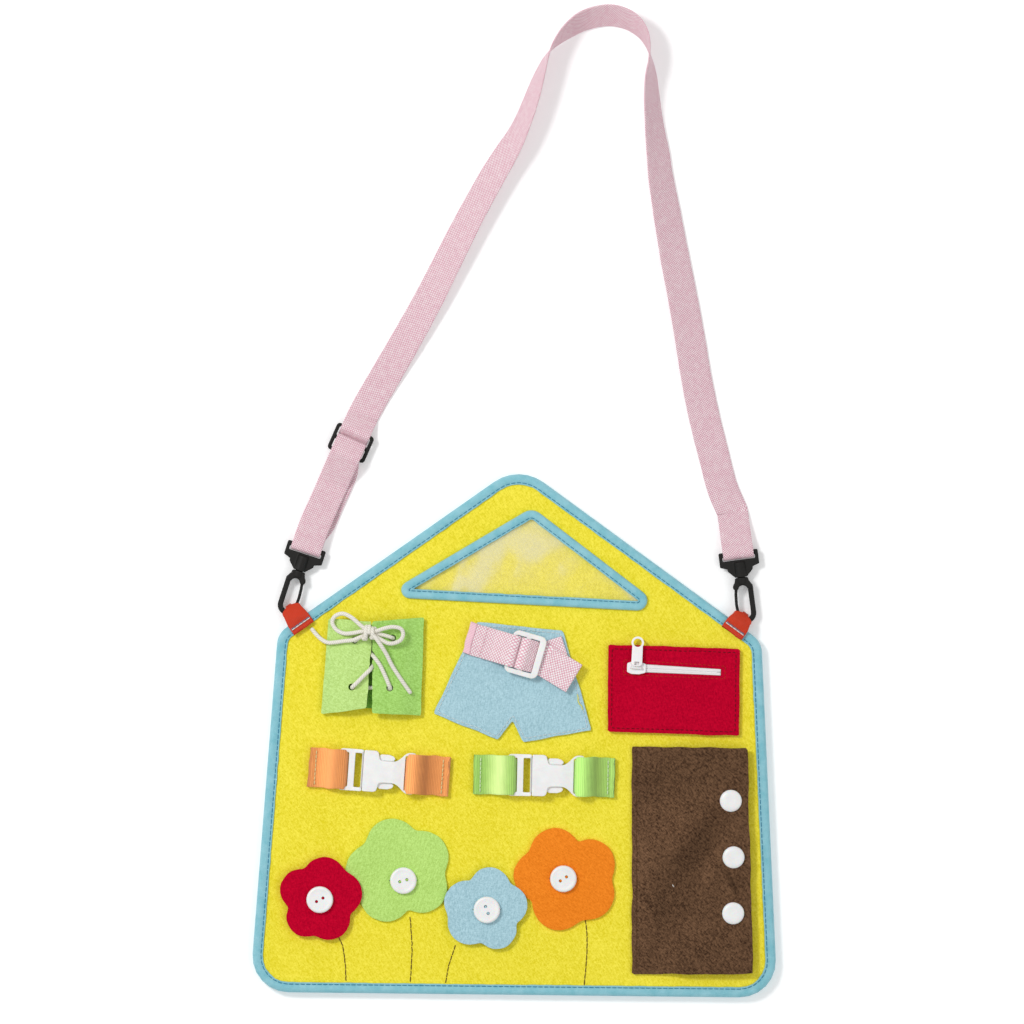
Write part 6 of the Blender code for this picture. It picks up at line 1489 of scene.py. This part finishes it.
top = GROUND + 2 * strap_layer + WEB / 2
zigzag = []
for i in range(13):
    x, y, heading = strap_place(sewn_at + 2.0 + (2.6 if i % 2 else 0.0))
    across = Vector((math.sin(heading), -math.cos(heading), 0.0))
    zigzag.append(Vector((x, y, top + 0.12)) + across * (-9.0 + 1.5 * i))
sewn("strap_zigzag", zigzag, "thread_cream", "board", "pink_webbing", 2.6, 0.3, 0.24, 0.2)
seam = [right_bar @ Vector((12.6, y / 2, GROUND + strap_layer + WEB / 2 + 1.0)) for y in range(-18, 19)]
sewn("strap_seam", seam, "thread_pink", "board", "pink_webbing", 2.2, 0.7, 0.22)


COLLAR_HALF = (
    (-22.9, 5.2), (-22.4, 5.9), (-21.0, 6.2), (-19.6, 5.6), (-18.2, 4.7), (-16.8, 4.3), (-15.9, 4.2), (-15.6, 3.9))
for name, side in (("left", -1), ("right", 1)):
    at = hook_place(name) @ place(0.0, 0.0, WIRE_Z)
    fork = bar(-25.0, -19.4, *sorted((1.2 * side, 8.0 * side)), -1.8, 1.8)
    cut = (post(3.0, -23.4, 0.0, -9.0, 9.0), fork)
    collar = moulded(f"{name}_hook_collar", COLLAR_HALF, 5.4, cut, lambda x: 1.0, at)
    piece(f"{name}_hook_collar", collar, "black", f"{name}_hook", "black_plastic", sharp=0)


# ---- CAD solids that stay: softened edges and their own finish

FINISH = {"core_board": ("core", 0.0)}
for i in (1, 2, 3):
    FINISH[f"door_socket_{i}"] = FINISH[f"door_stud_{i}"] = ("white", 0.0)
for name in ("belt_buckle", "orange_upper_arm", "orange_lower_arm", "green_upper_arm", "green_lower_arm"):
    FINISH[name] = ("white", 0.25)
for name in ("left_hook_base", "right_hook_base", "left_hook", "right_hook", "left_hook_gate", "right_hook_gate",
             "strap_slider"):
    FINISH[name] = ("black", 0.3)
FINISH["zip_slider"] = ("coil", 0.2)
for name, (finish, width) in FINISH.items():
    obj = bpy.data.objects[name]
    obj.data.materials.clear()
    obj.data.materials.append(M[finish])
    weld = obj.modifiers.new("Weld", "WELD")
    weld.merge_threshold = 0.002 * MM
    obj.data.polygons.foreach_set("use_smooth", [True] * len(obj.data.polygons))
    if width:
        round_all(obj, width)
    else:
        obj.data.set_sharp_from_angle(angle=math.radians(35.0))


# ---- camera, light and ground

camera_data = bpy.data.cameras.new("camera")
camera_data.lens = 275.8
camera_data.sensor_width = 36.0
camera_data.clip_end = 20.0
camera = linked("camera", camera_data)
camera.location = (-0.0014, 0.1425, 5.0)
bpy.context.scene.camera = camera

ground_material, tree, shader = start("ground", (0.96, 0.96, 0.96), 0.9, Specular_IOR_Level=0.0,
                                      Emission_Strength=0.16)
shader.inputs["Emission Color"].default_value = (1.0, 1.0, 1.0, 1.0)
ground_mesh = bpy.data.meshes.new("ground")
ground_mesh.from_pydata([(-3, -3, -0.0002), (3, -3, -0.0002), (3, 3, -0.0002), (-3, 3, -0.0002)], [], [(0, 1, 2, 3)])
ground_mesh.materials.append(ground_material)
ground = linked("ground", ground_mesh)


def area_light(name, spot, target, size, power):
    data = bpy.data.lights.new(name, "AREA")
    data.size = size
    data.energy = power
    light = linked(name, data)
    light.location = spot
    light.rotation_euler = (Vector(target) - Vector(spot)).to_track_quat("-Z", "Y").to_euler()
    return light


key = area_light("key", (-1.1, 0.9, 1.7), (0.0, 0.12, 0.0), 0.45, 22.5)
fill = area_light("fill", (1.5, -0.8, 2.2), (0.0, 0.1, 0.0), 1.6, 10.5)

world_settings = bpy.data.worlds.new("world")
world_settings.use_nodes = True
bpy.context.scene.world = world_settings
tree = world_settings.node_tree
back_node = tree.nodes["Background"]
path_node = tree.nodes.new("ShaderNodeLightPath")
seen = math_node(tree, "MAXIMUM", path_node.outputs["Is Camera Ray"], path_node.outputs["Is Transmission Ray"])
seen = math_node(tree, "MAXIMUM", seen, path_node.outputs["Is Glossy Ray"])
strength = add_node(tree, "MapRange", {"Value": seen, "To Min": 0.55, "To Max": 1.0})
tree.links.new(strength.outputs[0], back_node.inputs["Strength"])
back_node.inputs["Color"].default_value = (1.0, 1.0, 1.0, 1.0)
bpy.context.scene.view_settings.view_transform = "Standard"
